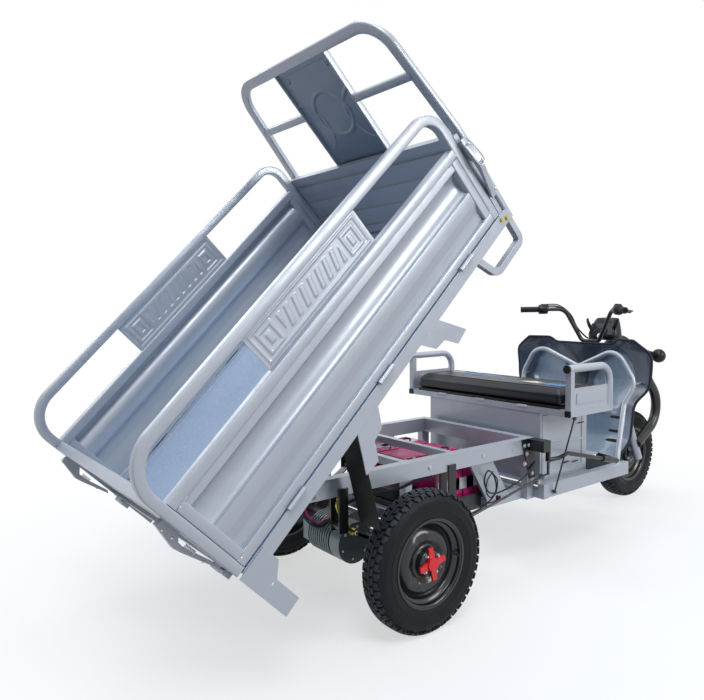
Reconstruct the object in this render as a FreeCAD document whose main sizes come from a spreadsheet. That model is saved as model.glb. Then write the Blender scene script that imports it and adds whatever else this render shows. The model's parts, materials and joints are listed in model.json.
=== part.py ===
import FreeCAD, Part
import math
import os
import re
import Sketcher
from FreeCAD import Vector, Placement, Rotation

# Electric three-wheeled cargo tricycle with its load bed tipped up.
# +X points forward, +Y to the left, +Z up; the ground is Z = 0.
# While it is drawn, X = 0 is the rear axle; at the end everything is shifted to the middle of its length.

doc = FreeCAD.newDocument("cargo_tricycle")
sheet = doc.addObject("Spreadsheet::Sheet", "dims")

SIZES = (
    # wheels and axle
    ("wheel_radius", 255), ("tyre_width", 95), ("track_half", 469), ("wheel_base", 2096),
    ("rim_radius", 160), ("rim_width", 84), ("rim_wall", 4), ("rim_lip", 8), ("rim_well_depth", 18),
    ("hub_radius", 48), ("hub_length", 78), ("disc_wall", 5), ("disc_dish", 22),
    ("hub_cap_radius", 24), ("hub_cap_length", 14), ("cap_arm_length", 60), ("cap_arm_width", 28),
    ("cap_arm_depth", 9), ("cap_angle", 10),
    ("axle_bore", 17), ("spindle_radius", 16), ("run_gap", 0.3), ("axle_tube_radius", 32),
    ("brake_drum_radius", 92), ("brake_drum_depth", 46), ("drum_gap", 6),
    ("brake_arm_in", 50), ("brake_arm_out", 112), ("brake_arm_wall", 6), ("brake_arm_high", 28),
    ("diff_radius", 78), ("diff_length", 150),
    ("motor_radius", 76), ("motor_length", 150), ("motor_back", 152), ("motor_rise", 42),
    ("motor_side", 62), ("motor_end_length", 58), ("motor_fin", 7), ("motor_fin_height", 7),
    # chassis, its heights above the axle or below the rails
    ("rail_y", 346), ("rail_wide", 40), ("rail_high", 65), ("rail_lift", 320), ("rail_rear", 440),
    ("rail_share", 0.37166), ("cross_depth", 40), ("angle_leg", 30), ("angle_wall", 4),
    ("angle_first", 70), ("angle_second", 325), ("angle_drop", 14),
    ("post_wide", 46), ("post_deep", 34), ("weld_lap", 5),
    ("low_rail_wide", 34), ("low_rail_high", 40), ("low_rail_start", 505), ("low_rail_drop", 269),
    ("leg_offset", 108), ("leg_long", 135),
    ("lug_wall", 10), ("lug_side", 42), ("lug_front", 380), ("pivot_pin", 9), ("pin_play", 0.5),
    # cab floor
    ("sill_y", 400), ("sill_wide", 34), ("sill_high", 62), ("floor_drop", 201), ("floor_back", 646),
    ("nose_back", 376), ("nose_y", 120), ("mat_thick", 5), ("mat_inset", 6), ("mat_end", 30),
    # battery tray and batteries
    ("tray_rear", 80), ("tray_front", 590), ("tray_in", 61), ("tray_sink", 6), ("tray_wall", 4),
    ("tray_high", 70), ("battery_long", 158), ("battery_margin", 15), ("battery_high", 205),
    ("battery_gap", 8), ("battery_lid", 18), ("lid_step", 4), ("control_wide", 330), ("control_high", 110),
    # seat
    ("seat_box_step", 43), ("seat_box_long", 350), ("seat_box_half", 345), ("seat_box_wall", 3),
    ("panel_inset", 12), ("panel_rim", 30), ("panel_boss", 4),
    ("panel_crease", 12), ("crease_rise", 150),
    ("seat_step", 39), ("seat_long", 318), ("seat_half", 500), ("seat_tube", 26), ("seat_rise", 302),
    ("end_cap", 10), ("rest_high", 204), ("rest_tube", 17), ("rest_bend", 72),
    ("rest_panel_high", 96), ("rest_panel_wall", 10), ("rest_margin", 26), ("rest_boss", 3),
    ("cushion_play", 22), ("cushion_back", 16), ("cushion_thick", 74), ("cushion_round", 18),
    ("seat_overhang", 16),
    ("seat_board", 12), ("lid_gap", 3), ("lid_hinge_y", 300), ("lid_hinge_wide", 44), ("lid_hinge_radius", 6),
    ("lid_strap", 4),
    # leg shield and guard tube
    ("shield_wall", 14), ("shield_back", 618), ("shield_reach", 142), ("shield_half", 410),
    ("shield_high", 590),
    ("shield_bulge", 52), ("ear_in", 227), ("ear_notch", 143), ("ear_drop", 27), ("shield_stand", 6),
    ("guard_radius", 13), ("guard_foot_y", 345), ("guard_knee_reach", 72), ("guard_knee_y", 312),
    ("guard_knee_rise", 266), ("guard_bulge_reach", 106), ("guard_bulge_y", 352), ("guard_bulge_rise", 368),
    ("guard_peak_reach", 101), ("guard_peak_y", 248), ("guard_peak_rise", 543), ("guard_mid_reach", 134),
    ("guard_mid_rise", 432), ("guard_knee_bend", 60), ("guard_bend", 88), ("guard_mid_bend", 40),
    # steering
    ("rake", 27), ("fork_y", 78), ("fork_radius", 19), ("slider_radius", 24), ("slider_length", 230),
    ("crown_reach", 320), ("crown_thick", 26), ("crown_deep", 60), ("top_reach", 690),
    ("stem_radius", 17), ("head_radius", 29), ("head_start", 352), ("head_length", 250), ("head_elbow", 171),
    ("head_bend", 120), ("down_radius", 23),
    ("bar_radius", 11), ("bar_end_back", 262), ("bar_end_y", 323), ("bar_end_rise", 245),
    ("bar_knee_back", 93),
    ("bar_knee_y", 148), ("bar_knee_rise", 247), ("bar_low_back", 61), ("bar_low_y", 52),
    ("bar_low_rise", 68),
    ("bar_knee_bend", 60), ("bar_low_bend", 34), ("grip_radius", 16), ("grip_length", 108),
    ("switch_radius", 26), ("switch_length", 54),
    ("cluster_back", 3), ("cluster_deep", 100), ("cluster_half", 90), ("cluster_high", 126),
    ("cluster_rise", 72), ("cluster_offset", 80), ("lamp_radius", 78), ("lamp_deep", 142),
    ("lamp_reach", 110),
    ("lamp_rise", 12), ("signal_y", 250), ("signal_reach", 212), ("signal_drop", 14), ("signal_radius", 38),
    ("stalk_radius", 12), ("bumper_y", 96), ("bumper_radius", 27), ("bumper_top_reach", 32),
    ("bumper_top_rise", 480), ("bumper_mid_reach", 262), ("bumper_mid_rise", 242), ("bumper_low_back", 38),
    ("bumper_low_rise", 75), ("bumper_bend", 150), ("bumper_tie", 16), ("strut_radius", 10),
    ("strut_reach", 520),
    # leaf springs
    ("shackle_rise", 26), ("leaf_thick", 7), ("leaf_steps", 8), ("spring_reach", 265), ("spring_arch", 96),
    ("spring_pad", 5), ("spring_pad_long", 64), ("shackle_wide", 8), ("shackle_half", 20), ("eye_radius", 16),
    # brakes
    ("brake_arm_y", 432), ("brake_plate", 6), ("brake_lever_drop", 85), ("brake_lever_reach", 507),
    ("brake_lever_fall", 80), ("brake_lever_radius", 9), ("brake_lever_bend", 36), ("brake_grip_radius", 14),
    ("brake_grip_length", 120), ("brake_bracket_high", 175), ("brake_bracket_long", 90),
    ("brake_foot_long", 36),
    ("brake_channel", 48), ("cable_radius", 5), ("line_drop", 143), ("line_in", 30), ("line_mid_x", 430),
    ("line_mid_drop", 223), ("line_end_y", 374), ("line_end_rise", 21), ("line_bend", 300),
    ("stay_radius", 3.5), ("stay_ball", 9), ("stay_top_front", 48), ("stay_top_in", 13),
    ("stay_low_front", 24),
    ("stay_low_rise", 24),
    # load bed, drawn in its own frame: u along, v across, w up from the sill's lower edge
    ("tip_angle", 44.6), ("pivot_x", 498), ("pivot_drop", 35), ("pivot_u", 262), ("bed_drop", 45),
    ("board_long", 1508), ("bed_nose", 2), ("bed_half", 531), ("bed_sill_high", 48), ("bed_sill_wide", 34),
    ("bed_floor_wall", 3), ("bed_cross_wide", 36), ("bed_cross_high", 34), ("bed_cross_step", 270),
    ("bed_long_beam_y", 262), ("bed_beam_wide", 40), ("sheet_wall", 3), ("post_out", 17),
    ("board_gap", 6), ("board_top", 366), ("board_rail", 34), ("hoop_top", 532), ("hoop_tube", 34),
    ("hoop_rear_bend", 118), ("hoop_front_bend", 86), ("ridge_out", 3), ("groove_low", 210),
    ("groove_high", 304), ("groove_deep", 28), ("ridge_low", 164), ("slope_low", 128),
    ("channel_in", 14), ("name_plate_long", 547), ("name_plate_wall", 8), ("emboss_high", 2),
    ("emboss_margin", 18), ("front_top", 390), ("front_board_deep", 25), ("front_rib", 10),
    ("front_hoop_top", 858), ("hoop_low_in", 15), ("hoop_high_in", 79), ("front_hoop_tube", 40),
    ("front_hoop_bend", 118), ("front_hoop_deep", 22), ("front_panel_half", 168), ("front_bar_w", 610),
    ("front_bar_high", 30), ("front_panel_wall", 4), ("panel_flange", 12), ("ring_outer", 96),
    ("ring_inner", 82),
    ("ring_high", 4), ("tail_deep", 34), ("tail_top", 362), ("tail_bottom", 52), ("side_play", 7),
    ("tail_rib", 8), ("hinge_radius", 8), ("hinge_length", 80), ("hinge_first", 254), ("hinge_last_in", 254),
    ("plate_wall", 4), ("arch_x", 778), ("arch_in", 132), ("arch_out", 248), ("arch_step_one", 171),
    ("arch_step_two", 220), ("arch_step_three", 256), ("arch_tip", 319), ("arch_first_drop", 62),
    ("arch_second_drop", 69), ("arch_third_drop", 127), ("arch_tip_drop", 120),
    ("flap_wide", 108), ("flap_thick", 6), ("flap_in", 151), ("flap_long", 400), ("flap_angle", 15),
    ("flap_x", 318), ("flap_rise", 260), ("tail_plate_rear", 18), ("tail_plate_front", 91),
    ("tail_plate_low", 166), ("tail_plate_waist", 46), ("tail_plate_step", 60), ("tail_hole", 5),
    ("tail_hole_u", 30), ("tail_hole_w", 58), ("handle_high", 118), ("handle_nose", 15), ("handle_long", 230),
    ("handle_tube", 26), ("handle_front_bend", 25), ("handle_back_bend", 42), ("handle_in", 19),
    ("latch_wide", 24), ("latch_long", 224), ("latch_reach", 41), ("latch_low", 100), ("latch_in", 15),
    ("front_latch_low", 120), ("front_latch_long", 250),
    ("overrun", 10),
)

# Sizes that follow others
DERIVED = (
    ("rail_top", "wheel_radius + rail_lift"),
    ("rail_front", "wheel_base * rail_share"),
    ("low_rail_bottom", "rail_top - low_rail_drop"),
    ("floor_top", "rail_top - floor_drop"),
    ("floor_stand", "floor_top - mat_thick + run_gap"),
    ("tray_half", "rail_y - tray_in"),
    ("leg_wall", "tray_half + run_gap + low_rail_wide - rail_y + rail_wide"),
    ("battery_wide", "(2 * tray_half - 2 * tray_wall - 2 * battery_margin - 2 * battery_gap) / 3"),
    ("seat_box_rear", "rail_front + seat_box_step"),
    ("seat_rear", "rail_front + seat_step"),
    ("tray_bottom", "low_rail_bottom - tray_sink"),
    ("pivot_z", "rail_top - pivot_drop"),
    ("seat_frame_z", "floor_top + seat_rise"),
    ("seat_box_top", "seat_frame_z - run_gap"),
    ("rest_top", "seat_frame_z + rest_high"),
    ("spring_seat_z", "wheel_radius + axle_tube_radius + spring_pad"),
    ("floor_front", "wheel_base - floor_back"),
    ("nose_front", "wheel_base - nose_back"),
    ("mat_front", "floor_front - mat_end"),
    ("shield_low_x", "wheel_base - shield_back"),
    ("guard_foot_x", "floor_front - guard_radius - run_gap"),
    ("cushion_half", "seat_half - seat_tube - cushion_play"),
    ("cushion_long", "seat_long - cushion_back"),
    ("brake_lever_z", "rail_top - brake_lever_drop"),
    ("brake_lever_front", "rail_front + brake_lever_reach"),
    ("line_start_z", "rail_top - line_drop"),
    ("line_mid_z", "rail_top - line_mid_drop"),
    ("line_end_z", "wheel_radius + line_end_rise"),
    ("flap_z", "pivot_z + flap_rise"),
    ("flap_y", "bed_half - flap_in"),
    ("front_board_u", "board_long + board_gap"),
    ("front_hoop_u", "front_board_u + front_board_deep + run_gap"),
    ("bed_long", "front_hoop_u + front_hoop_deep + bed_nose"),
    ("name_plate_rear", "(board_long - post_out - name_plate_long) / 2"),
    ("front_hoop_low_half", "bed_half - hoop_low_in"),
    ("front_hoop_high_half", "bed_half - hoop_high_in"),
    ("hinge_second", "board_long / 2 - post_out"),
    ("hinge_third", "board_long - hinge_last_in"),
    ("handle_front", "bed_long - handle_nose"),
    ("handle_back", "handle_front - handle_long"),
    ("handle_y", "bed_half - handle_in"),
    ("tail_half", "bed_half - hoop_tube - side_play"),
    ("tail_axis_u", "0 - post_out - hinge_radius"),
)

# Profiles as shares: tyre (half width, height from bead to crown), rim (radius from well to seat, half width)
TYRE_SHARES = ((0.8, 0), (0.93, 0.15), (1, 0.38), (0.99, 0.6), (0.93, 0.8), (0.85, 0.92), (0.6, 0.985),
               (0.2, 1))
RIM_SEAT_SHARE, RIM_WELL_SHARE, RIM_INNER_SHARE = 0.55, 0.3, 0.25
DISC_OUTER_SHARE, DISC_INNER_SHARE, DISC_HUB_SHARE = 0.8, 0.62, 1 / 3
HUB_TIP_SHARE, HUB_STEP_SHARE = 0.8, 2 / 3
ARM_TIP_SHARE = 0.72
# Leg shield: height, how far forward its edge stands, half width
SHIELD_SHARES = ((0, 0, 0.785), (0.137, 0.437, 0.841), (0.29, 0.6, 0.844), (0.45, 0.79, 0.841),
                 (0.585, 0.95, 0.97), (0.731, 1, 1), (0.876, 0.944, 1), (0.944, 0.88, 0.9), (1, 0.845, 0.79))
# Across the shield: share of its half width and of its bow, hollow at each knee
BOW_SHARES = ((1, 0), (0.8, 0.55), (0.55, 0.95), (0.28, 0.8), (0, 0.6))
# Instrument cluster: height, forward lean, half width, depth
CLUSTER_SHARES = ((0, 0.05, 0.94, 0.95), (0.18, 0, 1, 1.06), (1, 1, 0.65, 0.89))
# Headlight bowl: depth and radius
LAMP_SHARES = ((0, 0), (0.15, 0.71), (0.52, 1), (0.9, 1), (0.96, 0.9), (1, 0))
# Over-centre latch: how far it stands off and how high
LATCH_SHARES = ((0, 0.96), (0.54, 1), (1, 0.62), (0.9, 0.5), (0.3, 0), (0.12, 0.04), (0.55, 0.5), (0.5, 0.62),
                (0, 0.72))
LOW_BEND_SHARE, KNUCKLE_SHARE, STAY_SHARE = 0.6, 0.25, 1 / 3

ALIASES = {}
ROWS = SIZES + tuple((alias, "=" + formula) for alias, formula in DERIVED)
for row, (alias, content) in enumerate(ROWS, start=1):
    sheet.set("A%d" % row, alias)
    sheet.set("B%d" % row, str(content))
    sheet.setAlias("B%d" % row, alias)
    ALIASES[alias] = "B%d" % row
doc.recompute()


def size(alias):
    """Value of one cell of the sheet."""
    return float(sheet.get(alias))


class Sizes:
    """Reads sheet cells as attributes."""
    def __getattr__(self, alias):
        return size(alias)


d = Sizes()
NODES = []


def bind(thing, prop, text):
    """Binds a property to an expression written in sheet aliases."""
    full = re.sub(r"[A-Za-z_]\w*", lambda m: "dims." + m.group(0) if m.group(0) in ALIASES else m.group(0),
                  text)
    thing.setExpression(prop, full)


def place(thing, x="0", y="0", z="0"):
    """Binds the position of a piece."""
    bind(thing, "Placement.Base.x", x)
    bind(thing, "Placement.Base.y", y)
    bind(thing, "Placement.Base.z", z)


def box(name, x, y, z, dx, dy, dz):
    """Block from its low corner and its three sizes."""
    thing = doc.addObject("Part::Box", name)
    bind(thing, "Length", dx)
    bind(thing, "Width", dy)
    bind(thing, "Height", dz)
    place(thing, x, y, z)
    return thing


TURN = {"z": Rotation(), "y": Rotation(Vector(1, 0, 0), -90), "x": Rotation(Vector(0, 1, 0), 90)}


def rod(name, axis, x, y, z, radius, length):
    """Round bar along one axis, from its start."""
    thing = doc.addObject("Part::Cylinder", name)
    thing.Placement = Placement(Vector(0, 0, 0), TURN[axis])
    bind(thing, "Radius", radius)
    bind(thing, "Height", length)
    place(thing, x, y, z)
    return thing


def join(name, things):
    """Fuses pieces that are welded together or kept in one node."""
    thing = doc.addObject("Part::MultiFuse", name)
    thing.Shapes = things
    thing.Refine = True
    return thing


def cut(name, base, tool):
    """Takes one piece out of another."""
    thing = doc.addObject("Part::Cut", name)
    thing.Base = base
    thing.Tool = tool
    return thing


def single(name, thing):
    """One piece kept as it is, with a placement of its own."""
    held = doc.addObject("Part::Compound", name)
    held.Links = [thing]
    return held


def formed(name, shape):
    """Feature whose shape is worked out from the sheet's sizes."""
    thing = doc.addObject("Part::Feature", name)
    thing.Shape = shape
    return thing


PLANES = {"XY": "XY_Plane", "XZ": "XZ_Plane", "YZ": "YZ_Plane"}


def pad(name, plane, points, length):
    """Body with a sketched outline, each corner bound to the sheet, padded by a bound length."""
    body = doc.addObject("PartDesign::Body", name)
    sketch = body.newObject("Sketcher::SketchObject", name + "_outline")
    origin = [o for o in body.Origin.OriginFeatures if o.Role == PLANES[plane]][0]
    sketch.AttachmentSupport = [(origin, "")]
    sketch.MapMode = "FlatFace"
    doc.recompute()
    corners = [(evaluate(px), evaluate(py)) for px, py in points]
    count = len(corners)
    ends = [(corners[i], corners[(i + 1) % count]) for i in range(count)]
    sketch.addGeometry([Part.LineSegment(Vector(*a, 0), Vector(*b, 0)) for a, b in ends], False)
    sketch.addConstraint([Sketcher.Constraint("Coincident", i, 2, (i + 1) % count, 1) for i in range(count)])
    for i, (px, py) in enumerate(points):
        for kind, text, number in (("DistanceX", px, corners[i][0]), ("DistanceY", py, corners[i][1])):
            if text == "0":
                axis = -2 if kind == "DistanceX" else -1
                sketch.addConstraint(Sketcher.Constraint("PointOnObject", i, 1, axis))
                continue
            index = sketch.addConstraint(Sketcher.Constraint(kind, -1, 1, i, 1, number))
            bind(sketch, "Constraints[%d]" % index, text)
    feature = body.newObject("PartDesign::Pad", name + "_pad")
    feature.Profile = sketch
    bind(feature, "Length", length)
    doc.recompute()
    return body


def side_plate(name, points, wall, right, left):
    """Flat plates in the XZ plane; right and left give where the outer or inner side of each stands."""
    plates = []
    for end, where in (("_right", right), ("_left", left)):
        plate = pad(name + end, "XZ", points, wall)
        bind(plate, "Placement.Base.y", where)
        plates.append(plate)
    return plates


def evaluate(text):
    """Number that an expression in aliases gives."""
    total = sheet.evalExpression(text)
    return float(total.Value if hasattr(total, "Value") else total)


def bent_wire(points, radii):
    """Straight runs joined by tangent arcs."""
    edges = []
    start = points[0]
    for i in range(1, len(points) - 1):
        corner = points[i]
        back = (points[i - 1] - corner).normalize()
        ahead = (points[i + 1] - corner).normalize()
        turn = math.pi - back.getAngle(ahead)
        reach = radii[i - 1] * math.tan(turn / 2)
        first = corner + back * reach
        last = corner + ahead * reach
        middle = (back + ahead).normalize()
        centre = corner + middle * (radii[i - 1] / math.cos(turn / 2))
        mid = centre - middle * radii[i - 1]
        edges.append(Part.LineSegment(start, first).toShape())
        edges.append(Part.Arc(first, mid, last).toShape())
        start = last
    edges.append(Part.LineSegment(start, points[-1]).toShape())
    return Part.Wire(edges)


def tube(points, radii, radius):
    """Round bar along a bent path."""
    wire = bent_wire(points, radii)
    heading = (points[1] - points[0]).normalize()
    ring = Part.Wire([Part.Circle(points[0], heading, radius).toShape()])
    return wire.makePipeShell([ring], True, False)


def square_tube(points, radii, across, wide, high):
    """Rectangular bar along a flat path; across is the normal of the path's plane."""
    wire = bent_wire(points, radii)
    heading = (points[1] - points[0]).normalize()
    side = heading.cross(across).normalize()
    corners = []
    for a, b in ((-wide, -high), (wide, -high), (wide, high), (-wide, high), (-wide, -high)):
        corners.append(points[0] + side * (b / 2) + across * (a / 2))
    ring = Part.makePolygon(corners)
    return wire.makePipeShell([ring], True, False)


def bar(start, end, radius):
    """Straight round bar between two points."""
    return Part.makeCylinder(radius, (end - start).Length, start, end - start)


def fused(pieces):
    """Shapes made one."""
    shape = pieces[0]
    for piece in pieces[1:]:
        shape = shape.fuse(piece)
    return shape


def prism(points, along):
    """Straight block over a closed outline."""
    return Part.Face(Part.makePolygon(points + [points[0]])).extrude(along)


def revolve(points, axis_base, axis_dir):
    """Ring or disc from a closed outline."""
    face = Part.Face(Part.makePolygon(points + [points[0]]))
    return face.revolve(axis_base, axis_dir, 360)


def node(thing, label, frame="axle"):
    """Names a finished piece and puts it in its place."""
    thing.Label = label
    NODES.append((thing, frame))
    return thing


# Wheels

def tyre_shape():
    """Square-shouldered ring, drawn about its own Y axis."""
    half = d.tyre_width / 2
    edge = d.rim_radius - d.rim_lip
    high = d.wheel_radius - edge
    near = [Vector(edge + high * up, half * across, 0) for across, up in TYRE_SHARES]
    far = [Vector(point.x, -point.y, 0) for point in reversed(near)]
    return revolve(near + far, Vector(0, 0, 0), Vector(0, 1, 0))


def rim_shape(side):
    """Steel rim with a dished disc and a hub bored for the spindle; side tells which way it is dished."""
    seat = d.rim_radius - d.rim_lip - d.run_gap / 3
    half = d.rim_width / 2
    well = seat - d.rim_well_depth
    inner = well - d.rim_wall
    lip = seat - d.rim_wall
    ring = [(seat, -half), (seat, -half * RIM_SEAT_SHARE), (well, -half * RIM_WELL_SHARE),
            (well, half * RIM_WELL_SHARE), (seat, half * RIM_SEAT_SHARE), (seat, half), (lip, half),
            (inner, half * RIM_INNER_SHARE), (inner, -half * RIM_INNER_SHARE), (lip, -half)]
    low = d.disc_dish
    wall = d.disc_wall
    root = low * DISC_HUB_SHARE
    outer = inner * DISC_OUTER_SHARE
    flat = inner * DISC_INNER_SHARE
    edge = inner + d.rim_wall / 2
    disc = [(edge, 0), (outer, low), (flat, low), (d.hub_radius, root), (d.hub_radius, root - wall),
            (flat, low - wall), (outer, low - wall), (edge, -wall)]
    end = d.hub_length / 2
    hub = [(d.axle_bore, -end), (d.hub_radius, -end), (d.hub_radius, end * HUB_STEP_SHARE),
           (d.hub_radius * HUB_TIP_SHARE, end), (d.axle_bore, end)]
    shapes = []
    for outline, way in ((ring, 1), (disc, side), (hub, side)):
        shapes.append(revolve([Vector(a, b * way, 0) for a, b in outline], Vector(0, 0, 0), Vector(0, 1, 0)))
    return fused(shapes).removeSplitter()


def cap_shape(side):
    """Cap over the end of the hub with four tapered arms, slightly turned."""
    root = d.cap_arm_width / 2
    tip = root * ARM_TIP_SHARE
    pieces = [Part.makeCylinder(d.hub_cap_radius, d.hub_cap_length, Vector(0, 0, 0), Vector(0, 1, 0))]
    for quarter in range(4):
        outline = [Vector(-root, 0, 0), Vector(root, 0, 0), Vector(tip, 0, d.cap_arm_length),
                   Vector(-tip, 0, d.cap_arm_length)]
        arm = prism(outline, Vector(0, d.cap_arm_depth, 0))
        arm.rotate(Vector(0, 0, 0), Vector(0, 1, 0), 90 * quarter - d.cap_angle)
        pieces.append(arm)
    shape = fused(pieces).removeSplitter()
    if side < 0:
        shape = shape.mirror(Vector(0, 0, 0), Vector(0, 1, 0))
    return shape, side * (d.hub_length / 2 + d.run_gap)


def make_wheels():
    """Three tyres and rims, and the two rear hub caps."""
    for name, x, y, side in (("rear_right", 0, -d.track_half, -1), ("rear_left", 0, d.track_half, 1),
                             ("front", d.wheel_base, 0, 1)):
        centre = Placement(Vector(x, y, d.wheel_radius), Rotation())
        tyre = formed(name + "_tyre", tyre_shape())
        tyre.Placement = centre
        node(tyre, name + "_tyre")
        rim = formed(name + "_rim", rim_shape(side))
        rim.Placement = centre
        node(rim, name + "_rim")
        if name != "front":
            shape, start = cap_shape(side)
            cap = formed(name + "_hub_cap", shape)
            cap.Placement = centre.multiply(Placement(Vector(0, start, 0), Rotation()))
            node(cap, name + "_hub_cap")


# Chassis

def make_chassis():
    """Ladder frame with corner posts, low rails on slanted legs and the pivot lugs of the bed."""
    pieces = []
    under = "rail_top - rail_high"
    drop = "rail_top - rail_high - low_rail_bottom + weld_lap"
    for name, side in (("right", -1), ("left", 1)):
        rail = "0 - rail_y" if side < 0 else "rail_y - rail_wide"
        pieces.append(box("rail_" + name, "0 - rail_rear", rail, under, "rail_rear + rail_front", "rail_wide",
                          "rail_high"))
        post = "0 - rail_y" if side < 0 else "rail_y - post_deep"
        pieces.append(box("post_" + name, "rail_front - post_wide", post, "low_rail_bottom", "post_wide",
                          "post_deep", drop))
        low_y = "0 - tray_half - run_gap - low_rail_wide" if side < 0 else "tray_half + run_gap"
        pieces.append(box("low_rail_" + name, "low_rail_start", low_y, "low_rail_bottom",
                          "rail_front - low_rail_start", "low_rail_wide", "low_rail_high"))
        hang_y = "0 - tray_half" if side < 0 else "tray_half - low_rail_wide"
        pieces.append(box("hanger_" + name, "tray_rear", hang_y, "low_rail_bottom", "low_rail_wide",
                          "low_rail_wide",
                          "rail_top - angle_drop - low_rail_bottom"))
        lug_y = "0 - rail_y - lug_wall" if side < 0 else "rail_y"
        pieces.append(box("lug_" + name, "0 - pivot_x - lug_side / 2", lug_y, "pivot_z - lug_side / 2",
                          "pivot_x + lug_side / 2 - lug_front", "lug_wall", "lug_side"))
        pin_y = "0 - rail_y - 2 * lug_wall - side_play - run_gap" if side < 0 else "rail_y + run_gap"
        pieces.append(rod("pivot_pin_" + name, "y", "0 - pivot_x", pin_y, "pivot_z", "pivot_pin",
                          "2 * lug_wall + side_play"))
    top = "rail_top - rail_high + weld_lap"
    foot = "low_rail_bottom + low_rail_high - weld_lap"
    corners = (("low_rail_start - leg_offset", top), ("low_rail_start - leg_offset + leg_long", top),
               ("low_rail_start + leg_long", foot), ("low_rail_start", foot))
    pieces += side_plate("leg", corners, "leg_wall", "rail_wide - rail_y", "rail_y - rail_wide + leg_wall")
    inner = "2 * rail_y - 2 * rail_wide"
    in_y = "rail_wide - rail_y"
    pieces.append(box("cross_front", "rail_front - cross_depth", in_y, under, "cross_depth", inner,
                      "rail_high"))
    pieces.append(box("cross_rear", "0 - rail_rear", in_y, under, "cross_depth", inner, "rail_high"))
    for name, x in (("one", "angle_first"), ("two", "angle_second")):
        pieces.append(box("angle_flat_" + name, x, in_y, "rail_top - angle_drop - angle_wall", "angle_leg",
                          inner,
                          "angle_wall"))
        pieces.append(box("angle_web_" + name, x, in_y, "rail_top - angle_drop - angle_leg", "angle_wall",
                          inner,
                          "angle_leg"))
    pieces.append(box("low_cross_front", "rail_front - post_wide", "0 - rail_y", "low_rail_bottom",
                      "low_rail_wide",
                      "2 * rail_y", "low_rail_high"))
    pieces.append(box("low_cross_rear", "tray_rear", "0 - tray_half", "low_rail_bottom", "low_rail_wide",
                      "2 * tray_half", "low_rail_high"))
    node(join("chassis_frame", pieces), "chassis_frame")


def make_floor():
    """Cab floor: two sills, a nose beam to the steering head, cross beams and the plate with its mat."""
    pieces = []
    start = "rail_front + run_gap"
    long = "floor_front - rail_front - run_gap"
    low = "floor_top - sill_high"
    front = "floor_front - low_rail_wide"
    beam = "sill_high - mat_thick"
    inner = "2 * sill_y - 2 * sill_wide"
    for name, y in (("right", "0 - sill_y"), ("left", "sill_y - sill_wide")):
        pieces.append(box("sill_" + name, start, y, low, long, "sill_wide", "sill_high"))
    pieces.append(box("floor_beam_rear", start, "0 - sill_y", "low_rail_bottom + sheet_wall", "low_rail_wide",
                      "2 * sill_y", "low_rail_high"))
    pieces.append(box("floor_beam_front", front, "0 - sill_y", low, "low_rail_wide", "2 * sill_y", beam))
    pieces.append(box("nose_beam", front, "0 - nose_y / 2", low, "nose_front - floor_front + low_rail_wide",
                      "nose_y", beam))
    pieces.append(box("floor_sheet", start, "sill_wide - sill_y", "floor_top - mat_thick - sheet_wall", long,
                      inner,
                      "sheet_wall"))
    node(join("floor_frame", pieces), "floor_frame")
    rear = "seat_box_rear + seat_box_long + mat_inset"
    mat = box("mat_block", rear, "sill_wide - sill_y + run_gap", "floor_stand",
              "mat_front - " + rear.replace("+", "-"),
              inner + " - 2 * run_gap", "floor_top - floor_stand")
    node(single("floor_mat_piece", mat), "floor_mat")


def make_batteries():
    """Open tray with two rows of battery boxes and the controller."""
    rear = "tray_rear + low_rail_wide + run_gap"
    long = "tray_front - tray_rear - low_rail_wide - run_gap"
    outer = box("tray_outer", rear, "0 - tray_half", "tray_bottom", long, "2 * tray_half", "tray_high")
    inner = box("tray_inner", rear + " + tray_wall", "tray_wall - tray_half", "tray_bottom + tray_wall",
                long + " - 2 * tray_wall", "2 * tray_half - 2 * tray_wall", "tray_high")
    node(cut("battery_tray", outer, inner), "battery_tray")
    base = "tray_bottom + tray_wall + run_gap"
    cells = []
    for row in (0, 1):
        for place_y in (-1, 0, 1):
            name = "battery_%d_%d" % (row, place_y + 1)
            x = "tray_front - tray_wall - battery_gap - battery_long - %d * (battery_long + battery_gap)" % row
            y = "%d * (battery_wide + battery_gap) - battery_wide / 2" % place_y
            cells.append(box(name, x, y, base, "battery_long", "battery_wide", "battery_high - battery_lid"))
            cells.append(box(name + "_lid", x + " + lid_step", y + " + lid_step",
                             base + " + battery_high - 2 * battery_lid",
                             "battery_long - 2 * lid_step", "battery_wide - 2 * lid_step", "2 * battery_lid"))
    node(join("batteries", cells), "batteries")
    control = box("controller_block", "tray_rear + low_rail_wide + tray_wall + battery_gap",
                  "0 - control_wide / 2",
                  base, "tray_front - tray_rear - low_rail_wide - 2 * tray_wall - 4 * battery_gap - 2 * battery_long",
                  "control_wide", "control_high")
    node(single("controller_piece", control), "controller_box")


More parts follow.
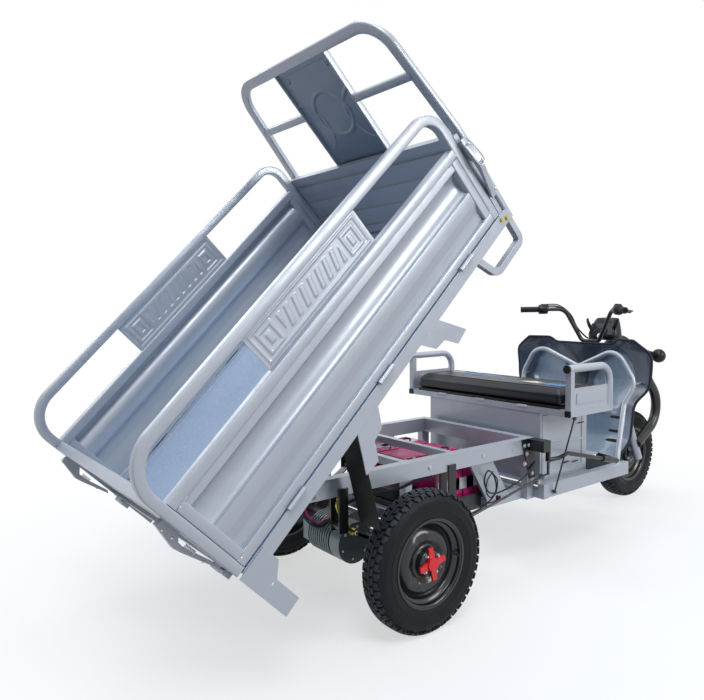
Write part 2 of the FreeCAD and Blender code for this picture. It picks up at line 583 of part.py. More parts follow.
def make_seat_box():
    """Sheet box under the seat, open at the top; each side has a raised frame with a crease across it."""
    high = "seat_box_top - floor_stand"
    outer = box("seat_box_outer", "seat_box_rear", "0 - seat_box_half", "floor_stand", "seat_box_long",
                "2 * seat_box_half", high)
    far_y = "0 - seat_box_half - panel_boss"
    across = "2 * seat_box_half + 2 * panel_boss"
    border = box("seat_box_border", "seat_box_rear + panel_inset", far_y, "floor_stand + panel_inset",
                 "seat_box_long - 2 * panel_inset", across, high + " - 2 * panel_inset")
    window = box("seat_box_window", "seat_box_rear + panel_inset + panel_rim", far_y,
                 "floor_stand + panel_inset + panel_rim", "seat_box_long - 2 * panel_inset - 2 * panel_rim",
                 across,
                 high + " - 2 * panel_inset - 2 * panel_rim")
    crease = box("seat_box_crease", "seat_box_rear + panel_inset", far_y, "floor_stand + crease_rise",
                 "seat_box_long - 2 * panel_inset", across, "panel_crease")
    whole = join("seat_box_whole", [outer, cut("seat_box_ring", border, window), crease])
    inner = box("seat_box_inner", "seat_box_rear + seat_box_wall", "seat_box_wall - seat_box_half",
                "floor_stand + seat_box_wall", "seat_box_long - 2 * seat_box_wall",
                "2 * seat_box_half - 2 * seat_box_wall", high)
    node(cut("seat_box", whole, inner), "seat_box")


def make_seat_frame():
    """Square-tube frame under the cushion with an arm rest at each end."""
    pieces = []
    half = d.seat_tube / 2
    low = "seat_frame_z"
    wide = "2 * seat_half"
    front_x = "seat_rear + seat_long - seat_tube"
    pieces.append(box("seat_rear_bar", "seat_rear", "0 - seat_half", low, "seat_tube", wide, "seat_tube"))
    pieces.append(box("seat_front_bar", front_x, "0 - seat_half", low, "seat_tube", wide, "seat_tube"))
    for name, side in (("right", -1), ("left", 1)):
        y0 = "0 - seat_half" if side < 0 else "seat_half - seat_tube"
        pieces.append(box("seat_side_" + name, "seat_rear", y0, low, "seat_long", "seat_tube", "seat_tube"))
        pieces.append(box("rest_post_" + name, "seat_rear", y0, low, "seat_tube", "seat_tube", "rest_high"))
        y = side * (d.seat_half - half)
        front = d.seat_rear + d.seat_long - half
        points = [Vector(d.seat_rear - d.end_cap, y, d.rest_top), Vector(front, y, d.rest_top),
                  Vector(front, y, d.seat_frame_z + half)]
        pieces.append(formed("rest_tube_" + name, tube(points, [d.rest_bend], d.rest_tube)))
        rest_y = "%d * (seat_half - seat_tube / 2) - rest_panel_wall / 2" % side
        pieces.append(box("rest_panel_" + name, "seat_rear + seat_tube - sheet_wall", rest_y,
                          "seat_frame_z + seat_tube - sheet_wall", "seat_long - 2 * seat_tube + sheet_wall",
                          "rest_panel_wall", "rest_panel_high"))
        pieces.append(box("rest_boss_" + name, "seat_rear + seat_tube + rest_margin", rest_y + " - rest_boss",
                          "seat_frame_z + seat_tube + rest_margin",
                          "seat_long - 2 * seat_tube - 2 * rest_margin",
                          "rest_panel_wall + 2 * rest_boss", "rest_panel_high - 2 * rest_margin"))
    for name, y in (("right", "0 - lid_hinge_y"), ("left", "lid_hinge_y - lid_hinge_wide")):
        for end, start in (("first", y + " - lid_hinge_wide / 2 - lid_gap"),
                           ("last", y + " + lid_hinge_wide + lid_gap")):
            pieces.append(rod("knuckle_%s_%s" % (name, end), "y",
                              "seat_rear + seat_long + lid_gap + lid_hinge_radius",
                              start, "seat_frame_z + seat_tube", "lid_hinge_radius", "lid_hinge_wide / 2"))
            pieces.append(box("knuckle_foot_%s_%s" % (name, end), "seat_rear + seat_long - lid_strap", start,
                              "seat_frame_z + seat_tube - lid_strap - lid_hinge_radius / 2",
                              "2 * lid_strap + lid_hinge_radius", "lid_hinge_wide / 2", "lid_strap"))
    node(join("seat_frame", pieces), "seat_frame")


def make_seat():
    """Hinged seat: board, hinge barrels and the cushion."""
    base_z = "seat_frame_z + seat_tube + run_gap"
    pieces = [box("seat_board_block", "seat_rear + 2 * lid_gap", "seat_overhang - cushion_half", base_z,
                  "cushion_long - 2 * lid_gap", "2 * cushion_half - 2 * seat_overhang", "seat_board")]
    for name, y in (("right", "0 - lid_hinge_y"), ("left", "lid_hinge_y - lid_hinge_wide")):
        pieces.append(box("seat_strap_" + name, "seat_rear + cushion_long - lid_hinge_wide", y, base_z,
                          "seat_long - cushion_long + lid_hinge_wide + lid_gap + lid_hinge_radius",
                          "lid_hinge_wide", "lid_strap"))
        pieces.append(rod("seat_barrel_" + name, "y", "seat_rear + seat_long + lid_gap + lid_hinge_radius", y,
                          "seat_frame_z + seat_tube", "lid_hinge_radius", "lid_hinge_wide"))
    node(join("seat_board", pieces), "seat_board")
    block = box("cushion_block", "seat_rear + lid_gap", "0 - cushion_half",
                base_z + " + seat_board + run_gap",
                "cushion_long", "2 * cushion_half", "cushion_thick")
    doc.recompute()
    soft = doc.addObject("Part::Fillet", "cushion_soft")
    soft.Base = block
    soft.Edges = [(i, d.cushion_round, d.cushion_round) for i, edge in enumerate(block.Shape.Edges, start=1)]
    node(soft, "seat_cushion")


def shield_section(up, ahead, wide):
    """Closed plan outline of the leg shield at one height, hollow at each knee."""
    z = d.floor_stand + up * d.shield_high
    edge = d.shield_low_x + ahead * d.shield_reach
    half = wide * d.shield_half
    right = [(edge + bow * d.shield_bulge, -share * half) for share, bow in BOW_SHARES]
    curve = right + [(x, -y) for x, y in reversed(right[:-1])]
    back = Part.BSplineCurve()
    back.interpolate([Vector(x, y, z) for x, y in curve])
    front = Part.BSplineCurve()
    front.interpolate([Vector(x + d.shield_wall, y, z) for x, y in reversed(curve)])
    left_end = Part.LineSegment(Vector(edge, half, z), Vector(edge + d.shield_wall, half, z))
    right_end = Part.LineSegment(Vector(edge + d.shield_wall, -half, z), Vector(edge, -half, z))
    return Part.Wire([back.toShape(), left_end.toShape(), front.toShape(), right_end.toShape()])


def shield_shape():
    """Bowed sheet, narrow at the feet and wide at the knees, its top edge lower between two ears."""
    shape = Part.makeLoft([shield_section(*level) for level in SHIELD_SHARES], True, False)
    top = d.floor_stand + d.shield_high
    start = d.shield_low_x
    notch = [Vector(start, -d.ear_in, top + d.overrun), Vector(start, -d.ear_in, top),
             Vector(start, -d.ear_notch, top - d.ear_drop), Vector(start, d.ear_notch, top - d.ear_drop),
             Vector(start, d.ear_in, top), Vector(start, d.ear_in, top + d.overrun)]
    return shape.cut(prism(notch, Vector(2 * d.shield_reach, 0, 0)))


def make_shield():
    """Leg shield and the bent tube that guards it, held off by three pins."""
    shield = shield_shape()
    node(formed("leg_shield", shield), "leg_shield")
    behind = shield.copy()
    behind.translate(Vector(-d.run_gap, 0, 0))
    base = d.shield_low_x
    foot = Vector(d.guard_foot_x, -d.guard_foot_y, d.floor_stand)
    knee = Vector(base + d.guard_knee_reach, -d.guard_knee_y, d.floor_top + d.guard_knee_rise)
    bulge = Vector(base + d.guard_bulge_reach, -d.guard_bulge_y, d.floor_top + d.guard_bulge_rise)
    peak = Vector(base + d.guard_peak_reach, -d.guard_peak_y, d.floor_top + d.guard_peak_rise)
    middle = Vector(base + d.guard_mid_reach, 0, d.floor_top + d.guard_mid_rise)
    right = [foot, knee, bulge, peak]
    left = [Vector(point.x, -point.y, point.z) for point in reversed(right)]
    bends = [d.guard_knee_bend, d.guard_bend, d.guard_bend]
    pieces = [tube(right + [middle] + left, bends + [d.guard_mid_bend] + bends[::-1], d.guard_radius)]
    for start in (bulge, middle, left[1]):
        pin = Part.makeCylinder(d.shield_stand, 2 * d.shield_bulge, start, Vector(1, 0, 0))
        pieces.append(min(pin.cut(behind).Solids, key=lambda piece: piece.BoundBox.XMin))
    below = Part.makeBox(d.floor_front, 2 * d.sill_y, d.floor_stand, Vector(0, -d.sill_y, 0))
    shape = fused(pieces).cut(below)
    node(formed("shield_guard_tube", shape.removeSplitter()), "shield_guard_tube")


def along_axis(reach):
    """Point on the steering axis, at a distance from the front axle."""
    slope = math.radians(d.rake)
    return Vector(d.wheel_base - reach * math.sin(slope), 0, d.wheel_radius + reach * math.cos(slope))


def steer_place():
    """Placement that puts a piece drawn about Z onto the steering axis."""
    return Placement(Vector(d.wheel_base, 0, d.wheel_radius), Rotation(Vector(0, 1, 0), -d.rake))


def crown_space():
    """Room that the upper crown of the fork takes up."""
    gap = d.run_gap
    room = Part.makeBox(d.crown_deep + 2 * gap, 4 * d.fork_y, d.crown_thick + 2 * gap,
                        Vector(-d.crown_deep / 2 - gap, -2 * d.fork_y, d.top_reach - d.crown_thick - gap))
    room.Placement = steer_place()
    return room


def make_head():
    """Steering head tube with its down tube to the nose beam and a stay to the shield."""
    head = Part.makeCylinder(d.head_radius, d.head_length, Vector(0, 0, d.head_start))
    bore = Part.makeCylinder(d.stem_radius + d.run_gap, d.head_length + 2 * d.overrun,
                             Vector(0, 0, d.head_start - d.overrun))
    head.Placement = steer_place()
    bore.Placement = steer_place()
    middle = along_axis(d.head_start + d.head_length / 3)
    foot = Vector(d.nose_front - d.head_radius, 0, d.floor_stand)
    elbow = Vector(foot.x, 0, d.floor_top + d.head_elbow)
    down = tube([foot, elbow, middle], [d.head_bend], d.down_radius)
    ahead = shield_shape()
    ahead.translate(Vector(d.run_gap, 0, 0))
    stay = Part.makeBox(foot.x - d.shield_low_x, 2 * d.head_radius, d.head_radius,
                        Vector(d.shield_low_x, -d.head_radius, elbow.z - d.head_radius))
    stay = max(stay.cut(ahead).Solids, key=lambda piece: piece.BoundBox.XMax)
    shape = head.fuse(down).fuse(stay).cut(bore)
    node(formed("steering_head", shape.removeSplitter()), "steering_head")


def make_fork():
    """Fork: two legs, two crowns, the stem and the front axle."""
    pieces = []
    for side in (-1, 1):
        y = side * d.fork_y
        pieces.append(Part.makeCylinder(d.slider_radius, d.slider_length, Vector(0, y, -d.slider_radius)))
        pieces.append(Part.makeCylinder(d.fork_radius, d.top_reach, Vector(0, y, 0)))
    wide = 2 * d.fork_y + 2 * d.slider_radius
    for reach in (d.crown_reach, d.top_reach - d.crown_thick):
        pieces.append(Part.makeBox(d.crown_deep, wide, d.crown_thick,
                                   Vector(-d.crown_deep / 2, -wide / 2, reach)))
    pieces.append(Part.makeCylinder(d.stem_radius, d.top_reach - d.crown_reach, Vector(0, 0, d.crown_reach)))
    pieces.append(Part.makeCylinder(d.spindle_radius, 2 * d.fork_y, Vector(0, -d.fork_y, 0), Vector(0, 1, 0)))
    fork = formed("fork", fused(pieces).removeSplitter())
    fork.Placement = steer_place()
    node(fork, "fork")


def make_handlebar():
    """Handlebar with clamps on the upper crown, grips and switch housings."""
    top = along_axis(d.top_reach)
    end = Vector(top.x - d.bar_end_back, d.bar_end_y, top.z + d.bar_end_rise)
    knee = Vector(top.x - d.bar_knee_back, d.bar_knee_y, top.z + d.bar_knee_rise)
    low = Vector(top.x - d.bar_low_back, d.bar_low_y, top.z + d.bar_low_rise)
    left = [end, knee, low]
    right = [Vector(point.x, -point.y, point.z) for point in reversed(left)]
    radii = [d.bar_knee_bend, d.bar_low_bend]
    pieces = [tube(left + right, radii + radii[::-1], d.bar_radius)]
    crown = crown_space()
    for side in (-1, 1):
        foot = Vector(top.x, side * d.bar_low_y / 2, top.z - d.crown_thick / 2)
        riser = bar(foot, Vector(low.x, foot.y, low.z), d.bar_radius)
        pieces.append(max(riser.cut(crown).Solids, key=lambda piece: piece.BoundBox.ZMax))
    node(formed("handlebar", fused(pieces).removeSplitter()), "handlebar")
    grips = []
    for side in (-1, 1):
        tip = Vector(end.x, side * end.y, end.z)
        heading = (Vector(knee.x, side * knee.y, knee.z) - tip).normalize()
        grip = Part.makeCylinder(d.grip_radius, d.grip_length, tip - heading * d.run_gap, heading)
        switch = Part.makeCylinder(d.switch_radius, d.switch_length,
                                   tip + heading * (d.grip_length - d.overrun), heading)
        hole = Part.makeCylinder(d.bar_radius + d.run_gap, 2 * d.grip_length, tip - heading * d.run_gap / 3,
                                 heading)
        grips.append(grip.fuse(switch).cut(hole))
    node(formed("grips", fused(grips).removeSplitter()), "grips")


def make_lamps():
    """Instrument cluster, bowl-shaped headlight and the two signal lamps, carried by the upper crown."""
    top = along_axis(d.top_reach)
    rings = []
    for up, ahead, wide, deep in CLUSTER_SHARES:
        x = top.x + d.cluster_back + ahead * d.cluster_offset
        far = x + deep * d.cluster_deep
        half = wide * d.cluster_half
        z = top.z + d.cluster_rise + up * d.cluster_high
        corners = [Vector(x, -half, z), Vector(far, -half, z), Vector(far, half, z), Vector(x, half, z)]
        rings.append(Part.makePolygon(corners + [corners[0]]))
    node(formed("instrument_cluster", Part.makeLoft(rings, True, True)), "instrument_cluster")
    start = top.x + d.lamp_reach
    axis_z = top.z + d.lamp_rise
    bowl = [Vector(start + deep * d.lamp_deep, 0, axis_z + out * d.lamp_radius) for deep, out in LAMP_SHARES]
    edges = [Part.Arc(*bowl[:3]).toShape()]
    rim = bowl[2:] + [bowl[0]]
    edges += [Part.LineSegment(rim[i], rim[i + 1]).toShape() for i in range(len(rim) - 1)]
    lamp = Part.Face(Part.Wire(edges)).revolve(bowl[0], Vector(1, 0, 0), 360)
    root = top.x + d.crown_deep / 3
    under = axis_z - d.crown_thick + d.weld_lap
    stay = Part.makeBox(start + d.crown_thick - root, d.fork_y, d.crown_thick,
                        Vector(root, -d.fork_y / 2, under))
    stay = max(stay.cut(crown_space()).Solids, key=lambda piece: piece.BoundBox.XMax)
    low = axis_z - d.crown_thick / 2
    column = Part.makeBox(d.crown_thick, d.fork_y, top.z + d.cluster_rise - d.run_gap - low,
                          Vector(top.x + d.crown_deep / 2 + d.crown_thick, -d.fork_y / 2, low))
    node(formed("headlight", lamp.fuse(stay).fuse(column).removeSplitter()), "headlight")
    room = Part.makeCylinder(d.lamp_radius + d.run_gap, d.lamp_deep, Vector(start, 0, axis_z),
                             Vector(1, 0, 0))
    signals = []
    for side in (-1, 1):
        ball = Vector(top.x + d.signal_reach, side * d.signal_y, top.z - d.signal_drop)
        foot = Vector(ball.x, side * (d.lamp_radius - d.stalk_radius), axis_z)
        stalk = bar(foot, ball, d.stalk_radius).cut(room)
        signals.append(stalk.fuse(Part.makeSphere(d.signal_radius, ball)))
    node(formed("signal_lamps", fused(signals)), "signal_lamps")


def make_bumper():
    """Two fat bowed tubes ahead of the front wheel, tied by a bar at the top."""
    base = d.wheel_base
    hub_z = d.wheel_radius
    top = Vector(base + d.bumper_top_reach, 0, hub_z + d.bumper_top_rise)
    nose = Vector(base + d.bumper_mid_reach, 0, hub_z + d.bumper_mid_rise)
    low = Vector(base - d.bumper_low_back, 0, hub_z + d.bumper_low_rise)
    pieces = []
    for side in (-1, 1):
        out = Vector(0, side * d.bumper_y, 0)
        pieces.append(tube([top + out, nose + out, low + out], [d.bumper_bend], d.bumper_radius))
    pieces.append(Part.makeCylinder(d.bumper_tie, 2 * d.bumper_y, Vector(top.x, -d.bumper_y, top.z),
                                    Vector(0, 1, 0)))
    leg = along_axis(d.strut_reach)
    for side in (-1, 1):
        out = Vector(0, side * d.fork_y, 0)
        pieces.append(bar(leg + out, top + out, d.strut_radius))
    legs = []
    for side in (-1, 1):
        for radius, long in ((d.slider_radius, d.slider_length), (d.fork_radius, d.top_reach)):
            start = Vector(0, side * d.fork_y, -d.slider_radius)
            legs.append(Part.makeCylinder(radius + d.run_gap, long + 2 * d.run_gap, start))
    fork = fused(legs)
    fork.Placement = steer_place()
    shape = max(fused(pieces).cut(fork).Solids, key=lambda piece: piece.Volume)
    node(formed("front_bumper", shape), "front_bumper")


# Rear axle, drive and springs

def make_axle():
    """Axle tube with brake back plates, the differential and the spindles."""
    hub_inner = d.track_half - d.hub_length / 2
    drum = hub_inner - d.drum_gap - d.brake_drum_depth
    z = d.wheel_radius
    across = Vector(0, 1, 0)
    pieces = [Part.makeCylinder(d.axle_tube_radius, 2 * drum + 2 * d.run_gap, Vector(0, -drum - d.run_gap, z),
                                across)]
    pieces.append(Part.makeCylinder(d.diff_radius, d.diff_length, Vector(0, -d.diff_length / 2, z), across))
    for side in (-1, 1):
        axis = Vector(0, side, 0)
        spindle = Vector(0, side * (hub_inner - d.drum_gap - d.run_gap), z)
        pieces.append(Part.makeCylinder(d.brake_drum_radius, d.brake_drum_depth, Vector(0, side * drum, z),
                                        axis))
        pieces.append(Part.makeCylinder(d.spindle_radius, d.hub_length + d.run_gap, spindle, axis))
    pieces.append(Part.makeBox(d.brake_arm_out - d.brake_arm_in, d.brake_arm_wall, d.brake_arm_high,
                               Vector(d.brake_arm_in, -drum, d.line_end_z - d.brake_arm_high / 2)))
    node(formed("rear_axle", fused(pieces).removeSplitter()), "rear_axle")


def make_motor():
    """Motor behind the axle with rings of fins and a round end cover."""
    x = -d.motor_back
    z = d.wheel_radius + d.motor_rise
    root = d.motor_radius - d.motor_fin_height
    pitch = 2 * d.motor_fin
    count = int(d.motor_length / pitch)
    outline = [(0, 0)]
    for i in range(count):
        outline += [(root, i * pitch), (root, i * pitch + d.motor_fin),
                    (d.motor_radius, i * pitch + d.motor_fin),
                    (d.motor_radius, (i + 1) * pitch)]
    outline += [(root, count * pitch), (root, d.motor_length), (d.motor_radius, d.motor_length),
                (d.motor_radius, d.motor_length + d.motor_end_length),
                (0, d.motor_length + d.motor_end_length)]
    points = [Vector(x, -d.motor_side - along, z + out) for out, along in outline]
    body = revolve(points, Vector(x, 0, z), Vector(0, 1, 0))
    neck = Part.makeBox(d.motor_back, d.diff_length - d.motor_fin, d.motor_radius,
                        Vector(x, -d.motor_side - d.motor_fin, z - d.motor_radius))
    housing = Part.makeCylinder(d.diff_radius + d.run_gap, d.diff_length,
                                Vector(0, -d.diff_length / 2, d.wheel_radius),
                                Vector(0, 1, 0))
    axle = Part.makeCylinder(d.axle_tube_radius + d.run_gap, 2 * d.track_half,
                             Vector(0, -d.track_half, d.wheel_radius), Vector(0, 1, 0))
    neck = neck.cut(housing).cut(axle)
    node(formed("drive_motor", body.fuse(neck)), "drive_motor")


def make_springs():
    """Leaf springs with their shackles and front hangers."""
    pieces = []
    wide = d.rail_wide + 2 * d.run_gap
    seat_z = d.wheel_radius + d.axle_tube_radius + d.run_gap
    for side in (-1, 1):
        y0 = side * (d.rail_y - d.rail_wide / 2) - wide / 2
        for i in range(3):
            low = d.spring_seat_z + d.leaf_thick * (2 - i)
            steps = int(d.leaf_steps) - 2 * i
            grid = [k / d.leaf_steps for k in range(-steps, steps + 1)]
            curve = [(d.spring_reach * share, low + d.spring_arch * share ** 2) for share in grid]
            outline = [Vector(a, y0, b) for a, b in curve]
            outline += [Vector(a, y0, b + d.leaf_thick) for a, b in reversed(curve)]
            pieces.append(prism(outline, Vector(0, wide, 0)))
        pieces.append(Part.makeBox(d.spring_pad_long, wide, d.spring_seat_z + d.leaf_thick - seat_z,
                                   Vector(-d.spring_pad_long / 2, y0, seat_z)))
        top = d.spring_seat_z + 2 * d.leaf_thick + d.spring_arch
        low = top - d.eye_radius - d.leaf_thick
        high = d.rail_top - d.rail_high + d.shackle_rise - low
        for x in (-d.spring_reach, d.spring_reach):
            pieces.append(Part.makeCylinder(d.eye_radius, wide, Vector(x, y0, top), Vector(0, 1, 0)))
            for y in (y0 - d.shackle_wide, y0 + wide):
                pieces.append(Part.makeBox(2 * d.shackle_half, d.shackle_wide, high,
                                           Vector(x - d.shackle_half, y, low)))
    node(formed("leaf_springs", fused(pieces)), "leaf_springs")


def make_brakes():
    """Parking brake lever with its bracket and rod, and the line to the rear drum."""
    y = -d.brake_arm_y
    top = d.rail_top - d.run_gap
    plate = pad("brake_bracket", "XZ", (("rail_front - brake_bracket_long", "rail_top - run_gap"),
                ("rail_front", "rail_top - run_gap"),
                ("rail_front", "rail_top - run_gap - brake_bracket_high"),
                ("rail_front - brake_foot_long", "rail_top - run_gap - brake_bracket_high")), "brake_plate")
    bind(plate, "Placement.Base.y", "0 - rail_y - run_gap")
    wall = d.brake_plate
    front = d.rail_front
    lever_z = d.brake_lever_z
    channel = Part.makeBox(d.brake_channel, d.brake_arm_y - d.rail_y - d.run_gap, d.brake_channel,
                           Vector(front - d.brake_channel, y, top - d.brake_channel))
    pivot = Part.makeBox(2 * wall, 3 * wall, top - lever_z + wall,
                         Vector(front - 2 * wall, y, lever_z - wall))
    pull = Part.makeBox(2 * wall, wall, lever_z - d.line_start_z,
                        Vector(front - 3 * wall, y, d.line_start_z - wall))
    link = Part.makeBox(3 * wall, wall, 2 * wall, Vector(front - 3 * wall, y, lever_z - 2 * wall))
    start = Vector(front - wall, y + wall, lever_z)
    knee = Vector(front + d.brake_grip_length / 2, y, lever_z)
    crook = Vector(front + d.brake_grip_length, y, lever_z + 2 * wall)
    end = Vector(d.brake_lever_front, y, lever_z - d.brake_lever_fall)
    bend = d.brake_lever_bend
    lever = tube([start, knee, crook, end], [bend, bend], d.brake_lever_radius)
    heading = (end - crook).normalize()
    grip = Part.makeCylinder(d.brake_grip_radius, d.brake_grip_length, end - heading * d.brake_grip_length,
                             heading)
    works = formed("brake_works", fused([channel, pivot, pull, link, lever, grip]))
    high = Vector(d.seat_rear + d.stay_top_front, d.stay_top_in - d.seat_half,
                  d.seat_frame_z - d.stay_ball - d.run_gap)
    low = Vector(d.seat_rear + d.stay_low_front, -d.sill_y - d.stay_ball - d.run_gap,
                 d.floor_top - d.sill_high + d.stay_low_rise)
    rod_shape = fused([bar(low, high, d.stay_radius), Part.makeSphere(d.stay_ball, low),
                       Part.makeSphere(d.stay_ball, high)])
    node(join("parking_brake", [plate, works, formed("brake_rod", rod_shape)]), "parking_brake")
    cable = [Vector(front - 3 * wall - 3 * d.run_gap, y + wall / 2, d.line_start_z),
             Vector(d.line_mid_x, y + d.line_in, d.line_mid_z),
             Vector(d.brake_arm_out + 3 * d.run_gap, -d.line_end_y, d.line_end_z)]
    node(formed("brake_lines", tube(cable, [d.line_bend], d.cable_radius)), "brake_lines")


# Load bed, in the frame of the bed: u along, v across, w up

def make_bed_floor():
    """Bed frame: sills, floor sheet, long beams, cross members and pivot ears."""
    pieces = []
    for name, side in (("right", -1), ("left", 1)):
        v = "0 - bed_half" if side < 0 else "bed_half - bed_sill_wide"
        pieces.append(box("bed_sill_" + name, "0", v, "0", "bed_long", "bed_sill_wide", "bed_sill_high"))
        beam_v = "%d * bed_long_beam_y - bed_beam_wide / 2" % side
        pieces.append(box("bed_beam_" + name, "0", beam_v, "0", "bed_long", "bed_beam_wide",
                          "bed_cross_high"))
    span = "2 * bed_half - 2 * bed_sill_wide"
    in_v = "bed_sill_wide - bed_half"
    pieces.append(box("bed_sheet", "0", in_v, "bed_cross_high", "bed_long", span, "bed_floor_wall"))
    for i in range(1 + int((d.bed_long - d.board_gap - 2 * d.bed_cross_wide) / d.bed_cross_step)):
        u = "%d * bed_cross_step + board_gap" % i
        pieces.append(box("bed_cross_%d" % i, u, in_v, "0", "bed_cross_wide", span, "bed_cross_high"))
    pieces.append(box("bed_cross_end", "bed_long - bed_cross_wide", in_v, "0", "bed_cross_wide", span,
                      "bed_sill_high"))
    for name, v in (("right", "0 - rail_y - 2 * lug_wall - side_play"),
                    ("left", "rail_y + lug_wall + side_play")):
        pieces.append(box("pivot_ear_" + name, "pivot_u - lug_side / 2", v, "0 - bed_drop - lug_side / 2",
                          "lug_side",
                          "lug_wall", "bed_drop + lug_side / 2 + bed_cross_high"))
    low = "bed_cross_high - hinge_radius"
    for name, v in (("right", "2 * bed_sill_wide - bed_half"),
                    ("left", "bed_half - 2 * bed_sill_wide - hinge_length")):
        pieces.append(box("tail_strap_" + name, "tail_axis_u", v, low, "bed_cross_wide - tail_axis_u",
                          "hinge_length",
                          "hinge_radius"))
        for end, start in (("first", v), ("last", v + " + hinge_length - hinge_length / 4")):
            pieces.append(box("tail_ear_%s_%s" % (name, end), "tail_axis_u - hinge_radius + run_gap", start,
                              low,
                              "2 * hinge_radius - 2 * run_gap", "hinge_length / 4",
                              "tail_bottom - " + low.replace("-", "+")))
            pieces.append(rod("tail_knuckle_%s_%s" % (name, end), "y", "tail_axis_u", start, "tail_bottom",
                              "hinge_radius - run_gap", "hinge_length / 4"))
    whole = join("bed_whole", pieces)
    radius = "pivot_pin + pin_play"
    bores = [rod("pivot_bore_right", "y", "pivot_u", "0 - rail_y - 3 * lug_wall - side_play", "0 - bed_drop",
                 radius,
                 "3 * lug_wall"),
             rod("pivot_bore_left", "y", "pivot_u", "rail_y + side_play", "0 - bed_drop", radius,
                 "3 * lug_wall")]
    node(cut("bed_floor", whole, join("pivot_bores", bores)), "bed_floor", "bed")


def board_outline(side):
    """Cross-section of a pressed side board between its rails, with one half-round groove."""
    half = d.bed_half
    wall = d.sheet_wall
    radius = (d.groove_high - d.groove_low) / 2
    outer = [(d.board_rail + d.bed_sill_high + d.board_gap - wall, d.channel_in), (d.slope_low, d.channel_in),
             (d.ridge_low, d.ridge_out), (d.groove_low, d.ridge_out)]
    steps = 7
    for i in range(1, steps):
        angle = math.pi * i / steps
        outer.append((d.groove_low + radius * (1 - math.cos(angle)),
                      d.ridge_out + math.sin(angle) * d.groove_deep))
    outer += [(d.groove_high, d.ridge_out), (d.board_top - d.board_rail + wall, d.ridge_out + wall)]
    inner = [(w, depth + wall) for w, depth in reversed(outer)]
    return [Vector(0, side * (half - depth), w) for w, depth in outer + inner]


def make_board(name, side):
    """Side board: panel with rails and stiles, and the bent-tube hoop around it with its name plate."""
    half = d.bed_half
    low = d.bed_sill_high + d.board_gap
    mid = d.hoop_tube / 2
    y = side * (half - mid)
    start = d.post_out + d.run_gap
    end = d.board_long - d.hoop_tube - d.run_gap
    rail = d.board_rail
    pieces = [prism(board_outline(side), Vector(end - start, 0, 0))]
    pieces[0].translate(Vector(start, 0, 0))
    for height in (low, d.board_top - rail):
        pieces.append(Part.makeBox(end - start, rail, rail, Vector(start, y - mid, height)))
    for u in (start, end - rail):
        pieces.append(Part.makeBox(rail, rail, d.board_top - low, Vector(u, y - mid, low)))
    panel = formed(name + "_board_panel", fused(pieces).removeSplitter())
    node(panel, name + "_board_panel", "bed")
    rear = d.post_out - mid
    front = d.board_long - mid
    points = [Vector(rear, y, low), Vector(rear, y, d.hoop_top - mid), Vector(front, y, d.hoop_top - mid),
              Vector(front, y, low)]
    bends = [d.hoop_rear_bend, d.hoop_front_bend]
    hoop = square_tube(points, bends, Vector(0, 1, 0), d.hoop_tube, d.hoop_tube)
    foot = d.board_top + d.run_gap
    high = d.hoop_top - d.hoop_tube - foot + d.weld_lap
    back = y - d.name_plate_wall / 2
    plate = Part.makeBox(d.name_plate_long, d.name_plate_wall, high, Vector(d.name_plate_rear, back, foot))
    margin = d.emboss_margin
    raised = back if side > 0 else back - d.emboss_high
    emboss = Part.makeBox(d.name_plate_long - 2 * margin, d.name_plate_wall + d.emboss_high,
                          high - d.weld_lap - 2 * margin,
                          Vector(d.name_plate_rear + margin, raised, foot + margin))
    node(formed(name + "_board_hoop", fused([hoop, plate, emboss]).removeSplitter()), name + "_board_hoop",
         "bed")


def latch_points(outer, low, long):
    """Outline of an over-centre latch as pairs of stand-off and height."""
    points = []
    for away, up in LATCH_SHARES:
        sunk = 0 if away else d.weld_lap
        points.append((outer - sunk + away * d.latch_reach, low + up * long))
    return points


def make_front_board():
    """Ribbed front board with corner posts and latches, and the high hoop with its middle panel."""
    u0 = "front_board_u"
    v0 = "board_gap - bed_half"
    span = "2 * bed_half - 2 * board_gap"
    low = "bed_sill_high + run_gap"
    high = "front_top - bed_sill_high - run_gap"
    pieces = [box("front_rail_low", u0, v0, low, "front_board_deep", span, "board_rail"),
              box("front_rail_top", u0, v0, "front_top - board_rail", "front_board_deep", span, "board_rail"),
              box("front_sheet", "front_board_u + front_board_deep / 2", v0, low, "sheet_wall", span, high)]
    for i in (1, 2, 3):
        w = "bed_sill_high + %d * (front_top - bed_sill_high) / 4" % i
        pieces.append(box("front_rib_%d" % i, "front_board_u + front_board_deep / 2 - front_rib", v0, w,
                          "front_rib",
                          span, "board_rail"))
    for name, v in (("right", v0), ("left", "bed_half - board_gap - board_rail")):
        pieces.append(box("front_post_" + name, u0, v, low, "front_board_deep", "board_rail", high))
    start = d.front_board_u + (d.front_board_deep - d.latch_wide) / 2
    for name, side in (("right", -1), ("left", 1)):
        points = latch_points(d.bed_half - d.board_gap, d.front_latch_low, d.front_latch_long)
        latch = prism([Vector(start, side * v, w) for v, w in points], Vector(d.latch_wide, 0, 0))
        pieces.append(formed("front_latch_" + name, latch))
    node(join("front_board", pieces), "front_board", "bed")
    make_front_hoop()


